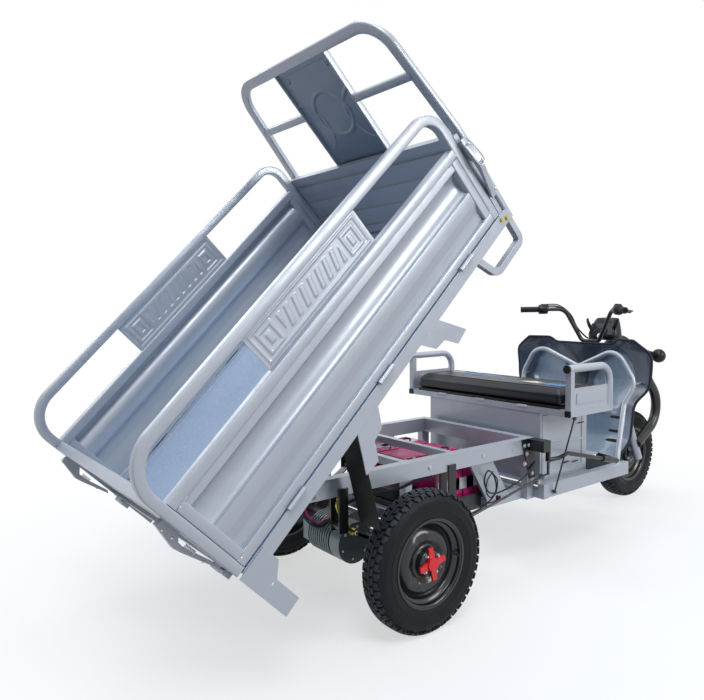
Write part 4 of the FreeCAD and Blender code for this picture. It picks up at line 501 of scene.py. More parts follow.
def own(name, patches, finish, body="chassis", smooth=32.0, node=None, edge=0.0, place=axle):
    """New piece from patches of points and faces in the frame of a placing function: doubles merged, faces
    turned outwards, riding on its body."""
    verts, faces, base = [], [], 0
    for points, quads in patches:
        points = np.asarray(points, float).reshape(-1, 3)
        verts.append(place(points) if place else points)
        faces += [[i + base for i in quad] for quad in quads]
        base += len(points)
    mesh = bpy.data.meshes.new(name)
    mesh.from_pydata(np.vstack(verts).tolist(), [], faces)
    cleaned(mesh, WELD / 10, lambda work: bmesh.ops.recalc_face_normals(work, faces=work.faces))
    mesh.validate()
    mesh.shade_smooth()
    mesh.set_sharp_from_angle(angle=math.radians(smooth))
    piece = linked(name, mesh)
    mesh.materials.append(FINISH[finish])
    if edge:
        rounded(piece, edge)
    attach(piece, body)
    if node:
        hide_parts(node)
    return piece


def mark(piece, name, rule):
    """Keeps a rule of the points' positions on them, for a finish to read."""
    layer = piece.data.attributes.new(name, "FLOAT", "POINT")
    layer.data.foreach_set("value", np.asarray(rule(points_of(piece.data)), np.float32))


def rounded(piece, radius, segments=2):
    """Bevel on the sharp edges of a piece."""
    edge = piece.modifiers.new("rounded edges", "BEVEL")
    edge.width = radius
    edge.segments = segments
    edge.limit_method = "ANGLE"
    edge.angle_limit = math.radians(32)
    edge.harden_normals = True
    edge.use_clamp_overlap = True


def dress(node, finish, radius=None, segments=2):
    """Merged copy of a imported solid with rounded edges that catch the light, in place of the node."""
    mesh = NODES[node].data.copy()
    cleaned(mesh, WELD, lambda work: bmesh.ops.dissolve_limit(work, angle_limit=math.radians(0.6),
                                                              verts=work.verts, edges=work.edges))
    mesh.materials.clear()
    mesh.shade_smooth()
    mesh.set_sharp_from_angle(angle=math.radians(28))
    mesh.name = node + "_finish"
    piece = linked(node + "_finish", mesh)
    mesh.materials.append(FINISH[finish])
    rounded(piece, radius or settings().edge_radius, segments)
    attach(piece, BODY_OF[node])
    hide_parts(node)
    return piece


# Wheels

# Bead's radius, and the radii between which the block tops turn paler, in metres
BEAD_RADIUS = 0.152
PALE_TOP_RADII = (0.2385, 0.2425)
# Tyre's section from crown to bead: shares of the half width and of the wall's height
TYRE_SHARES = ((0, 1), (0.2, 1), (0.6, 0.985), (0.85, 0.92), (0.93, 0.8), (0.99, 0.6), (1, 0.38),
               (0.93, 0.15), (0.8, 0))
# Distances down the section from the crown in mm, two close together at each edge of a groove or a bead
SECTION_MARKS = (0, 5.6, 6.4, 8.6, 9.4, 14, 20, 23.4, 24.2, 26.6, 27.4, 32, 37, 42, 46, 50.4, 51.6, 54, 58,
                 62, 66, 71, 72.5, 74, 76, 84, 92, 99, 100.5, 102, 104, 110)
BEAD_MARKS = (72.5, 100.5)
# Reach of a long and a short shoulder lug in mm, and the places of the blocks' edges as shares of a pitch
LUG_REACH = (51.0, 43.0)
BLOCK_PHASES = (0, .11, .22, .25, .36, .47, .50, .61, .72, .75, .86, .97)


def tyre(node):
    """Tyre with tread: the section is a smooth curve from bead to crown, cut by grooves whose depth is a mask
    of blocks in the turn and in the distance from the crown; shoulder lugs reach down the wall by turns."""
    now = settings()
    low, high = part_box(node)
    centre = (np.array(low) + np.array(high)) / 2
    wall = (high.x - low.x) / 2 - BEAD_RADIUS
    half = (high.y - low.y) / 2
    line = curve(np.array(TYRE_SHARES) * (half, wall) + (0, BEAD_RADIUS), 240)
    travel = np.concatenate([[0], np.cumsum(np.linalg.norm(np.diff(line, axis=0), axis=1))])
    marks = np.array(SECTION_MARKS) * MM
    marks = np.append(marks[marks < travel[-1] - 0.003], travel[-1])
    across, up = np.interp(marks, travel, line[:, 0]), np.interp(marks, travel, line[:, 1])
    normal = np.stack([np.gradient(up, marks), -np.gradient(across, marks)], -1)
    normal /= -np.linalg.norm(normal, axis=1, keepdims=True)
    normal[0] = (0, 1)
    s = marks / MM
    phases = np.array(BLOCK_PHASES)
    blocks = now.tread_blocks
    turn = (np.arange(blocks)[:, None] + phases[None]).ravel()
    within, pitch = np.tile(phases, blocks), np.repeat(np.arange(blocks), len(phases))
    early = (within >= 0.25) & (within <= 0.47)
    late = (within >= 0.75) & (within <= 0.97)
    depth = now.tread_depth * np.interp(s, [0, 46, 56, 66], [1, 1, 0.5, 0])
    bead = 1.4 * MM * (np.isin(np.round(s, 1), BEAD_MARKS))
    halves = []
    for side in (1, -1):
        middle, shoulder = (early, late) if side > 0 else (late, early)
        reach = np.where(pitch % 2 == 0, *LUG_REACH)
        mask = np.zeros((len(s), len(turn)))
        mask[s <= 6] = np.where(middle, 0.72, 1.0)
        rows = (s > 9) & (s < 24)
        mask[rows] = np.where(middle, 0.0, 1.0)
        rows = (s > 27) & (s < 51)
        mask[rows] = np.where(shoulder | (s[rows, None] > reach), 0.0, 1.0)
        lean = -0.30 * np.minimum(s, 27) / 27
        drop = (1 - mask) * depth[:, None] - bead[:, None]
        where = np.stack([across, up], -1)[:, None] - normal[:, None] * drop[..., None]
        angle = (turn[None] + lean[:, None]) * 2 * math.pi / blocks
        out = where[..., 1]
        halves.append(np.stack([out * np.cos(angle), side * where[..., 0], out * np.sin(angle)], -1))
    points = np.concatenate([halves[1][:0:-1], halves[0]]) + centre
    faces = grid_faces(points.shape[0], points.shape[1], True, True).tolist()
    piece = own(node + "_tread", [(points, faces)], "tyre", BODY_OF[node], smooth=24, node=node, place=None)

    def pale_tops(p):
        """Share of the pale tone: one on block tops near the crown, none in the grooves or on the wall."""
        radius = np.hypot(p[:, 0] - centre[0], p[:, 2] - centre[2])
        crown = np.interp(np.abs(p[:, 1] - centre[1]), across, up)
        above_grooves = step(radius - crown, -0.4 * now.tread_depth, -0.1 * now.tread_depth)
        return step(radius, *PALE_TOP_RADII) * above_grooves

    # Paler tone on the block tops near the crown.
    mark(piece, "pale_tops", pale_tops)
    return centre


# Section of the rim and its disc, outer face first: places along the axle and radii in mm
RIM_SECTION = ((39, 0), (39.4, 30), (38.4, 41), (35, 46), (30, 48.5), (12, 50), (6, 55), (5, 60),
               (9, 66), (16, 73), (20, 82), (21, 94), (19, 104), (13, 113), (4, 121), (-1, 126),
               (2, 129.5), (10, 131), (16, 135), (19, 141), (22, 145.6), (27, 147.4), (31, 147),
               (33, 148.2), (36, 147.4), (38.5, 149.5), (40.6, 154), (41.2, 159), (42.4, 160.3),
               (42.9, 158.4), (42, 152), (24, 151.6), (18, 140), (12, 134), (-12, 134), (-18, 140),
               (-24, 151.6), (-42, 152), (-42.9, 158.4), (-42.4, 160.3), (-41.2, 159), (-40, 153),
               (-36, 148), (-24, 147), (-18, 137), (-12, 131), (-7, 126), (-6, 121), (3, 113),
               (10, 104), (14, 94), (13, 82), (9, 73), (2, 66), (-2, 58), (-8, 50), (-36, 48),
               (-39, 44), (-39, 0))
NUT_CIRCLE = 38


def rim(node, centre, side):
    """Pressed steel wheel: one closed section turned about the axle, its disc rippled in three lobes."""

    def lobes(turn, radius):
        """Depth of the hollows between the lobes, which fade out towards the hub and the rim."""
        wave = step(np.cos(3 * turn + 0.6), -0.90, -0.55)
        band = step(radius, 66, 76) * (1 - step(radius, 104, 118))
        return 4.5 * (wave - 1) * band

    axis = (0, side, 0)
    base = centre / MM
    disc = lathe(RIM_SECTION, base, axis, 96, lobes)
    own(node + "_pressing", [disc], "wheel", BODY_OF[node], smooth=40, node=node, place=metres)
    nuts = []
    for quarter in range(4):
        turn = math.radians(90 * quarter + 35)
        at = base + (NUT_CIRCLE * math.cos(turn), side * 38.8, NUT_CIRCLE * math.sin(turn))
        nuts += bolt(at, axis, 5.6, 8)
    own(node + "_nuts", nuts, "zinc", BODY_OF[node], place=metres)
    points, faces = wire([(126, 20, 0), (131, 30, 0), (133, 38, 0), (132, 44, 0)], 3.6, 10, 10)
    own(node + "_valve", [(sided(points, side) + base, faces)], "rubber", BODY_OF[node], place=metres)


class TRIKE_OT_wheels(bpy.types.Operator):
    """Treaded tyres, pressed rims with their nuts, and the red cross caps"""
    bl_idname = "trike.wheels"
    bl_label = "Wheels"

    def execute(self, context):
        for name, side in (("front", -1), ("rear_right", -1), ("rear_left", 1)):
            centre = tyre(name + "_tyre")
            rim(name + "_rim", centre, side)
        for name in ("rear_right_hub_cap", "rear_left_hub_cap"):
            dress(name, "red", 0.003, 3)
        return {"FINISHED"}


# Seat

# Fall of the top at its edge and how far in it starts, pull of the waist, room for the cover to swell, and
# the seam's distance from the edge, in metres
EDGE_DROP, EDGE_WIDE = 0.020, 0.045
WAIST_IN, COVER_ROOM = 0.006, 0.003
SEAM_IN = 0.046
# Bands: finish, share of the seat's depth and of its width, length, half width and bow
SEAT_BANDS = (("cream", 0.44, 0.20, 0.12, 0.022, 0.9), ("blue", 0.50, 0.04, 0.17, 0.024, -0.8),
              ("grey", 0.36, 0.16, 0.24, 0.013, 0.5), ("blue", 0.70, 0.52, 0.34, 0.017, 0.4),
              ("cream", 0.78, 0.84, 0.09, 0.016, -0.5), ("grey", 0.58, 0.42, 0.30, 0.010, 0.3))


def cushion_form(node):
    """Crowned pad: a rounded box whose top slopes down towards its edge and whose sides pull in at mid
    height, blown up a little and kept inside the node's box."""
    low, high = (np.array(corner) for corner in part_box(node))
    mesh = NODES[node].data.copy()
    mesh.materials.clear()
    cleaned(mesh, WELD)
    piece = linked("seat_cushion_vinyl", mesh)
    remesh = piece.modifiers.new("even grid", "REMESH")
    remesh.mode = "VOXEL"
    remesh.voxel_size = 0.007
    applied(piece)
    p = points_of(piece.data)
    middle, span = (low + high) / 2, (high - low) / 2
    inset = span - np.abs(p - middle)
    rim_in = np.minimum(inset[:, 0], inset[:, 1])
    lift = np.clip((p[:, 2] - middle[2]) / span[2], 0, 1)
    p[:, 2] -= lift * EDGE_DROP * (1 - step(rim_in, 0.0, EDGE_WIDE))
    waist = 1 - np.abs(p[:, 2:3] - middle[2]) / span[2]
    p[:, :2] -= (p[:, :2] - middle[:2]) * (WAIST_IN / span[:2]) * waist
    p[:, :2] = middle[:2] + (p[:, :2] - middle[:2]) * (1 - COVER_ROOM / span[:2])
    p[:, 2] = middle[2] + (p[:, 2] - middle[2]) * 0.94 - 0.001
    move_points(piece.data, p)
    inflate(piece, 4.0, 0.005)
    move_points(piece.data, np.clip(points_of(piece.data), low, high))
    smooth = piece.modifiers.new("smooth", "SUBSURF")
    smooth.levels = smooth.render_levels = 1
    applied(piece)
    piece.data.shade_smooth()
    return piece


def applied(piece):
    """Applies every modifier of a piece to its mesh."""
    view = bpy.context.evaluated_depsgraph_get()
    mesh = bpy.data.meshes.new_from_object(piece.evaluated_get(view))
    piece.modifiers.clear()
    old, piece.data = piece.data, mesh
    bpy.data.meshes.remove(old)


def inflate(piece, pressure, limit):
    """Blows the cover up like a filled cushion for twenty frames, and caps how far each point may move."""
    before = points_of(piece.data)
    cloth = piece.modifiers.new("cover", "CLOTH")
    cloth.settings.use_pressure = True
    cloth.settings.uniform_pressure_force = pressure
    cloth.settings.effector_weights.gravity = 0.0
    cloth.settings.quality = 4
    cloth.point_cache.frame_start, cloth.point_cache.frame_end = 1, 20
    scene = bpy.context.scene
    for at in range(1, 21):
        scene.frame_set(at)
    applied(piece)
    move = points_of(piece.data) - before
    length = np.linalg.norm(move, axis=1, keepdims=True)
    move *= np.minimum(1, limit / np.maximum(length, 1e-9))
    move_points(piece.data, before + move)
    scene.frame_set(1)


class TRIKE_OT_seat(bpy.types.Operator):
    """Padded seat with its piping and plain bands"""
    bl_idname = "trike.seat"
    bl_label = "Seat"

    def execute(self, context):
        piece = cushion_form("seat_cushion")
        piece.data.materials.append(FINISH["vinyl"])
        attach(piece, "seat")
        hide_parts("seat_cushion")
        tree = BVHTree.FromObject(piece, context.evaluated_depsgraph_get())
        low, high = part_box("seat_cushion")

        def laid(outline, lift):
            """Points dropped on the cushion's top, lifted a little off it."""
            out = []
            for x, y in outline:
                hit = tree.ray_cast(Vector((x, y, high.z + 0.1)), Vector((0, 0, -1)))[0]
                out.append((x, y, (hit.z if hit else high.z - 0.02) + lift))
            return np.array(out)

        back, front = low.x + SEAM_IN, high.x - SEAM_IN
        right, left = low.y + SEAM_IN, high.y - SEAM_IN
        corners = [(back, right), (front, right), (front, left), (back, left)]
        sides = zip(corners, corners[1:] + corners[:1])
        loop = np.vstack([np.linspace(a, b, 24, endpoint=False) for a, b in sides])
        seams = [sweep(laid(loop, 0.0002), ring(0.0022, 8), closed=True)]
        for (x, y), (ox, oy) in zip(corners, ((-1, -1), (1, -1), (1, 1), (-1, 1))):
            line = np.linspace((x, y), (x + ox * 0.030, y + oy * 0.030), 8)
            seams.append(sweep(laid(line, 0.0), ring(0.0018, 8)))
        own("seat_piping", seams, "vinyl", "seat", place=None)
        u = np.linspace(-1, 1, 22)
        for number, (finish, x_share, y_share, long, wide, bow) in enumerate(SEAT_BANDS):
            x0 = low.x + x_share * (high.x - low.x)
            y0 = low.y + y_share * (high.y - low.y) + long * 0.6
            half = wide * np.sqrt(np.clip(1 - u ** 2, 0.02, 1)) * (1 + 0.18 * np.sin(9 * u))
            x, y = x0 + bow * 0.02 * (1 - u ** 2), y0 + u * long / 2 * 1.1
            top = np.stack([laid(zip(x + across * half, y), 0.0004) for across in (-1, -0.33, 0.33, 1)])
            own(f"seat_band_{number}", [slab(top, top - (0, 0, 0.0012))], finish, "seat", place=None)
        return {"FINISHED"}


# Front: leg shield, instruments, lamps and bars

SHIELD = dict(base=1478.0, foot=369.3, high=590.0, reach=142.0, half=410.0, bulge=52.0, wall=9.0)
HOLLOW_DEEP = 15
NOTCH_DROP = 27
EDGE_RADIUS = 6.5
# Shield's outline: share of the height, of the reach ahead and of the half width; then its bow across
SHIELD_LINES = ((0, 0, .785), (.137, .437, .841), (.29, .6, .844), (.45, .79, .841), (.585, .95, .97),
                (.731, 1, 1), (.876, .944, 1), (.944, .88, .9), (1, .845, .79))
BOW = ((-1, 0), (-.8, .55), (-.55, .95), (-.28, .8), (0, .6), (.28, .8), (.55, .95), (.8, .55), (1, 0))


def knee_hollow(up, side):
    """Share of the depth of the knee hollows: a smooth step inside a rounded three-cornered outline."""
    heights = [.30, .45, .62, .80, .93]
    outer = np.interp(up, heights, [215, 268, 330, 300, 225])
    inner = np.interp(up, heights, [150, 95, 62, 120, 215])
    return (step(side, inner, inner + 24) * (1 - step(side, outer - 24, outer)) * step(up, .34, .40)
            * (1 - step(up, .86, .92)))


def shield_point(up, across):
    """Point of the leg shield: height share up, share of the half width across; the section bows forward, and
    the knee hollows are pressed further forward inside a rounded three-cornered outline on each side."""
    rows = curve(SHIELD_LINES, 90)
    ahead, wide = np.interp(up, rows[:, 0], rows[:, 1]), np.interp(up, rows[:, 0], rows[:, 2])
    bows = curve(BOW, 120)
    bow = np.interp(across, bows[:, 0], bows[:, 1])
    y = across * wide * SHIELD["half"]
    side = np.abs(y)
    x = SHIELD["base"] + ahead * SHIELD["reach"] + bow * SHIELD["bulge"] + HOLLOW_DEEP * knee_hollow(up, side)
    z = SHIELD["foot"] + up * SHIELD["high"]
    return np.stack([x, y, z], -1)


def shield_top(across):
    """Height share of the top edge: the ears stand 27 mm above the notch between them, on smooth slopes."""
    y = np.abs(across) * 0.8 * SHIELD["half"]
    return 1 - NOTCH_DROP / SHIELD["high"] * (1 - step(y, 143, 227))


def make_shield():
    """Leg shield as a bowed sheet, with a black edge strip, a dark spine, louvre slots drawn as thin black
    sheets of painted shade, and its clip.
    """
    middle = np.linspace(-0.9, 0.9, 91)
    across = np.concatenate([np.linspace(-1, -0.9, 6, endpoint=False), middle, np.linspace(0.9, 1, 7)[1:]])
    a, t = np.meshgrid(across, np.linspace(0, 1, 74))
    back = shield_point(t * shield_top(a), a)
    front = back + (SHIELD["wall"], 0, 0)
    piece = own("leg_shield_moulding", [slab(back, front)], "shield", smooth=60, node="leg_shield")

    def hollow_painted_light(p):
        """Share of the painted light: the knee hollows, and about half of it low on the shield."""
        up, side = (p[:, 2] / MM - SHIELD["foot"]) / SHIELD["high"], np.abs(p[:, 1]) / MM
        return np.maximum(knee_hollow(up, side), 0.55 * (1 - step(up, .26, .40)))

    # Painted light: this layer makes the knee hollows and the low part of the shield paler, as if lit.
    mark(piece, "hollow_painted_light", hollow_painted_light)
    levels = np.linspace(0.0, 1, 40)
    left = shield_point(levels, np.full(40, 1.0))
    top_a = np.linspace(1, -1, 60)
    top = shield_point(shield_top(top_a), top_a)
    right = shield_point(levels[::-1], np.full(40, -1.0))
    line = np.vstack([left, top[1:-1], right]) + (SHIELD["wall"] / 2, 0, 0)
    own("shield_edge_strip", [sweep(line, ring(EDGE_RADIUS, 10), up=(1, 0, 0.02))], "rubber", smooth=60)
    u, t = net((-1, 1, 15), (0.44, 0.935, 40))
    half = np.interp(t, [.44, .52, .66, .80, .935], [20, 34, 44, 66, 128])
    y = u * half
    rows = curve(SHIELD_LINES, 90)
    wide = np.interp(t, rows[:, 0], rows[:, 2])
    spine = shield_point(t, y / (wide * SHIELD["half"]))
    lift = 5 * np.sqrt(np.clip(1 - np.abs(u) ** 6, 0, 1)) - 1
    rear = spine - lift[..., None] * (1, 0, 0)
    own("shield_spine", [slab(rear, spine + (2.0, 0, 0))], "shield_dark", smooth=50)
    slots = []
    s, w = net((0, 1, 14), (-1, 1, 4))
    half = 0.012 * w * np.sqrt(np.clip(1 - (2 * s - 1) ** 4, 0.04, 1))
    for side in (-1, 1):
        for low in (0.11, 0.19, 0.31):
            at = shield_point(low + half + 0.010 * s, side * (0.56 + 0.30 * s))
            slots.append(slab(at - (1.2, 0, 0), at + (1, 0, 0)))
    # Painted shade: thin black sheets stand for the louvre openings.
    own("shield_slots", slots, "dark")
    u, t = net((-1, 1, 9), (-1, 1, 5))
    clip = np.stack([1594.0 - 3 * (1 - u ** 4), 34 * u, 806 + 13 * t], -1)
    own("guard_tube_clip", [slab(clip, clip + (16, 0, 0))], "silver", edge=0.0012)


# Instrument hood's height, half depth and half width
HOOD = dict(rise=126.0, deep=50, wide=90)
# Levels of the hood: height share, lean back in mm, share of the width and of the depth
HOOD_LEVELS = ((-0.02, -6, .55, .5), (0.0, 0, .9, .88), (0.06, 1, .97, .98), (0.2, 2, 1, 1.02),
               (0.45, -4, .93, .95), (0.72, -14, .80, .84), (0.9, -22, .70, .74), (0.97, -26, .62, .66),
               (0.985, -28, .3, .3), (0.985, -28, 0, 0))


def make_cluster():
    """Instrument hood: a squared oval carried up and leaned forward, with a bowed screen and a lock."""
    base, count = np.array([1865.8, 0, 941.8]), 48
    turn = np.linspace(0, 2 * math.pi, count, endpoint=False)
    circle = np.stack([np.cos(turn), np.sin(turn)], -1)
    shape = np.sign(circle) * np.abs(circle) ** 0.55
    rows = [np.broadcast_to(base + (6, 0, -3), (count, 3))]
    for up, lean, wide, deep in HOOD_LEVELS:
        x = base[0] - lean + shape[:, 0] * HOOD["deep"] * deep
        z = np.full(count, base[2] + up * HOOD["rise"])
        rows.append(np.stack([x, shape[:, 1] * HOOD["wide"] * wide, z], -1))
    own("instrument_hood", [(np.stack(rows), grid_faces(len(rows), count, False, True).tolist())],
        "black_plastic", "steering", smooth=45, node="instrument_cluster")
    t, s = net((-1, 1, 25), (-1, 1, 15))
    up = (s + 1) / 2
    face = np.stack([base[0] - 46 + 16 * up * 1.2, 74 * t * (1 - 0.14 * up), base[2] + 62 + 30 * s], -1)
    bowl = 4 * (1 - np.abs(t) ** 6) * (1 - np.abs(s) ** 6)
    own("instrument_screen", [slab(face - (4, 0, 0), face + bowl[..., None] * (1, 0, 0))], "glass",
        "steering")
    lock = lathe([(0, 0), (0, 15), (5, 15), (6, 12), (6, 5), (9, 4.5), (9, 0)], base + (-52, 0, 22),
                 (-1, 0, 0.35), 24)
    own("ignition_lock", [lock], "zinc", "steering")
    fin = []
    for side in (-1, 1):
        path = curve([(1840, side * 60, 985), (1832, side * 84, 1030), (1836, side * 96, 1060)], 12)
        fin.append(sweep(path, box_ring(26, 7, 2.5), up=(1, 0, 0.2), size=np.linspace(1, 0.55, 12)))
    own("hood_wings", fin, "black_plastic", "steering")


# Rim of the headlight: share of its depth and radius in mm
LAMP_RIM = ((.80, 76), (.84, 78), (.95, 78), (.985, 74), (.97, 69), (.9, 66), (.6, 60), (.6, 0))


def make_lamps():
    """Headlight bowl, rim and lens turned about their axis, and ball signal lamps with amber lenses."""
    at, deep = np.array([1892.8, 0, 881.8]), 142.0
    bowl = [(0, 0)]
    for turn in np.linspace(0.05, 1, 12) * math.pi / 2:
        bowl.append(((1 - math.cos(turn)) * deep * 0.62, math.sin(turn) * 72))
    bowl += [(deep * share, radius) for share, radius in LAMP_RIM]
    own("headlight_bowl", [lathe(bowl, at, (1, 0, 0), 64)], "black_plastic", "steering", smooth=45,
        node="headlight")
    lens = [(0, 0), (0, 66), (2, 68)]
    lens += [(3 + 10 * math.cos(turn), 67 * math.sin(turn)) for turn in np.linspace(math.pi / 2, 0, 10)]
    own("headlight_lens", [lathe(lens, at + (deep * 0.90, 0, 0), (1, 0, 0), 48)], "clear", "steering")
    stay = sweep([(1800, 0, 868), (1850, 0, 872), (1905, 0, 878)], box_ring(36, 26, 5))
    own("headlight_stay", [stay], "black_steel", "steering")
    balls, lenses, stalks = [], [], []
    shell = [(-38 * math.cos(turn), 38 * math.sin(turn)) for turn in np.linspace(0, math.pi, 25)[:14]]
    shell += [(3.5, 37.6), (5, 36), (5, 0)]
    glow = [(4, 0), (4, 35.6)]
    glow += [(5 + 29 * math.sin(turn), 35.4 * math.cos(turn)) for turn in np.linspace(0, math.pi / 2, 9)]
    number = np.arange(20)
    boot = 1 + 0.28 * (number % 2) * (number > 8) + 0.25 * np.linspace(0, 1, 20)
    for side in (-1, 1):
        at = (1994.8, side * 250, 855.8)
        balls.append(lathe(shell, at, (1, 0, 0.05), 32))
        lenses.append(lathe(glow, at, (1, 0, 0.05), 32))
        path = sided([(1960, 66, 881.8), (1970, 130, 878), (1982, 190, 868), (1992, 226, 859)], side)
        stalks.append(sweep(curve(path, 20), ring(12, 14), size=boot))
    own("signal_shells", balls + stalks, "black_plastic", "steering", smooth=50, node="signal_lamps")
    own("signal_lenses", lenses, "orange", "steering")


# Places along the handlebar's left half, and the ribs of its grips
BAR_TIP, BAR_KNEE, BAR_LOW = (1520.8, 323, 1114.8), (1689.8, 148, 1116.8), (1721.8, 52, 937.8)
GRIP_RIBS, RIB_PITCH = 16, 6.2


def make_bars():
    """Handlebar with ribbed grips, switch housings, brake levers and the cables tied along it."""
    halves = sided((BAR_TIP, BAR_KNEE, BAR_LOW), -1), sided((BAR_LOW, BAR_KNEE, BAR_TIP), 1)
    bar = sweep(bent(np.vstack(halves), (60, 34, 34, 60)), ring(11, 20))
    own("handlebar_tube", [bar], "chrome", "steering", smooth=50, node="handlebar")
    grip = [(0, 0), (0, 15), (3, 17)]
    for at in np.arange(GRIP_RIBS) * RIB_PITCH:
        grip += [(6 + at, 16.4), (8.6 + at, 16.4), (9.2 + at, 15.2), (11.4 + at, 15.2)]
    grip += [(104, 16), (106, 20), (110, 20), (110, 0)]
    house = [(98, 0), (98, 20), (101, 25), (108, 27), (142, 27), (149, 24), (152, 18), (152, 0)]
    grips, boxes, levers, cables = [], [], [], []
    for side in (-1, 1):
        tip, knee, low = (sided(place, side) for place in (BAR_TIP, BAR_KNEE, BAR_LOW))
        way = (knee - tip) / np.linalg.norm(knee - tip)
        across = np.cross(way, (0, 0, 1)) * side
        grips.append(lathe(grip, tip, way, 24))
        boxes.append(lathe(house, tip, way, 28))
        pod = tip + way * 128
        boxes.append(sweep([pod + (0, 0, 8), pod + (0, 0, 22), pod + (0, 0, 31)], box_ring(34, 26, 5),
                           up=(1, 0, 0), size=[1, 1, 0.8]))
        pivot = tip + way * 146 + across * -14
        path = curve([pivot + (4, 0, 0), pivot + (26, side * 4, -2), pivot + (22, side * 46, -6) - way * 30,
                      tip + way * 36 + (44, 0, -10), tip + way * 2 + (50, 0, -12)], 30)
        levers.append(sweep(path, ring(5.5, 10, 0.7), size=np.linspace(1.2, 0.95, 30)))
        for number, (gap, radius) in enumerate(((14.0, 4.5), (24.0, 3.2))):
            route = [tip + way * 150 + (6, 0, gap), (tip + knee) / 2 + (6, 0, gap + 2),
                     knee - way * 40 + (8, 0, gap),
                     knee + (low - knee) * 0.25 + (14, -side * 2, 10 + number * 4),
                     knee + (low - knee) * 0.6 + (18, 0, 4), low + (26, -side * 4, 24),
                     low + (62, -side * 10, 10)]
            cables.append(wire(route, radius, 48))
    own("grip_sleeves", grips, "rubber", "steering", smooth=40, node="grips")
    own("switch_housings", boxes, "black_plastic", "steering", smooth=40)
    own("brake_levers", levers, "black_steel", "steering", smooth=60)
    own("bar_cables", cables, "rubber", "steering", smooth=60)


class TRIKE_OT_front(bpy.types.Operator):
    """Leg shield, instrument hood, lamps, handlebar and cables"""
    bl_idname = "trike.front"
    bl_label = "Front end"

    def execute(self, context):
        make_shield()
        make_cluster()
        make_lamps()
        make_bars()
        dress("front_bumper", "black_steel", 0.0015)
        dress("fork", "silver", 0.0012)
        dress("shield_guard_tube", "silver", 0.001)
        return {"FINISHED"}


# Load bed

# Places and sizes in mm of the bed frame
BOARD = dict(half=531.0, low=54.0, top=366.0, start=17.3, end=1473.7, rail=34.0, sheet=3.0)
GROOVE = dict(middle=257, half=47, depth=28)
HOOP = dict(end=1491, top=515, bends=(118, 86))
PLATE = dict(start=472, end=1019, low=366.4, high=498.4, face=512.0, wall=3.2)
FRONT_U = 1550.3
HINGES = (254, 737, 1254)
# Least height and half width of the floor's inner faces in metres
INNER_HIGH, INNER_HALF = 0.030, 0.4975


def pressed_board(name, side):
    """Side board: rails and stiles of rounded square tube, and a pressed sheet whose section runs down from
    the top rail through a half-round groove, a flat ridge and a slope into the lower channel."""
    half, low, top, start, end, rail, sheet = BOARD.values()
    turn = np.linspace(0, math.pi, 25)[1:-1]
    middle, wide, deep = GROOVE.values()
    groove = np.stack([middle - wide * np.cos(turn), 3 + deep * np.sin(turn)], -1)
    lower = [(low + rail - 3, 14), (126, 14), (130, 13.2), (162, 3.8), (166, 3), (206, 3), (209, 3.4)]
    section = np.vstack([lower, groove, [(306, 3.2), (309, 3), (top - rail + 3, 5)]])
    stations = np.linspace(start + rail - 2, end - rail + 2, 40)
    u, w = np.meshgrid(stations, section[:, 0])
    depth = np.broadcast_to(section[:, 1:], u.shape)
    outer = np.stack([u, side * (half - depth), w], -1)
    patches = [slab(outer, outer - (0, side * sheet, 0))]
    y = side * (half - rail / 2)
    profile = box_ring(rail, rail, 4)
    for height in (low + rail / 2, top - rail / 2):
        patches.append(sweep([(start, y, height), (end, y, height)], profile))
    for at in (start + rail / 2, end - rail / 2):
        patches.append(sweep([(at, y, low + rail + 0.2), (at, y, top - rail - 0.2)], profile, up=(0, 1, 0)))
    own(name + "_board_pressing", patches, "silver", name + "_board", smooth=34, node=name + "_board_panel",
        place=bed)
    welds = []
    for at in (start + rail, end - rail):
        for height in (low + rail, top - rail):
            line = [(at + t, side * (half - 2.2), height) for t in np.linspace(-16, 16, 13)]
            welds.append(sweep(line, ring(2.4, 8), size=1 + 0.25 * np.cos(np.arange(13) * math.pi)))
    own(name + "_board_welds", welds, "silver", name + "_board", place=bed)


def hoop_and_plate(name, side):
    """Side hoop of bent square tube, and the plate under it: a sheet whose height is a raised frame line, two
    end pads and a row of slanted ribs, each a smooth step of the distance to its outline."""
    y, low, rail = side * (BOARD["half"] - BOARD["rail"] / 2), BOARD["low"], BOARD["rail"]
    end, top = HOOP["end"], HOOP["top"]
    line = bent([(0, y, low), (0, y, top), (end, y, top), (end, y, low)], HOOP["bends"], 20)
    tube = sweep(line, box_ring(rail, rail, 5), up=(0, 1, 0))
    u, w = net((PLATE["start"], PLATE["end"], 230), (PLATE["low"], PLATE["high"], 58))
    a, b = u - (PLATE["start"] + PLATE["end"]) / 2, w - (PLATE["low"] + PLATE["high"]) / 2
    frame_out = np.maximum(np.abs(a) - 256, np.abs(b) - 50)
    line_out = np.abs(frame_out) - 3.0
    raised = []
    for way in (-1, 1):
        pad = np.abs(a - way * 205)
        raised.append(np.abs(np.maximum(pad - 28, np.abs(b) - 34)) - 5.0)
        raised.append(np.maximum(pad - 9, np.abs(b) - 17))
    slant = (a - 0.30 * b + 14) % 38 - 14
    raised.append(np.maximum(np.maximum(np.abs(slant) - 8, np.abs(b) - 30), np.abs(a) - 150))
    height = 2.2 * (1 - step(line_out, 0, 2.4))
    for out in raised:
        height = np.maximum(height, 3.0 * (1 - step(out, -1.2, 2.0)))
    outer = np.stack([u, side * (PLATE["face"] + height), w], -1)
    plate = slab(outer, outer - (0, side * PLATE["wall"], 0))
    own(name + "_board_tube", [tube], "silver", name + "_board", smooth=40, node=name + "_board_hoop",
        place=bed)
    own(name + "_name_plate", [plate], "silver", name + "_board", smooth=50, place=bed)


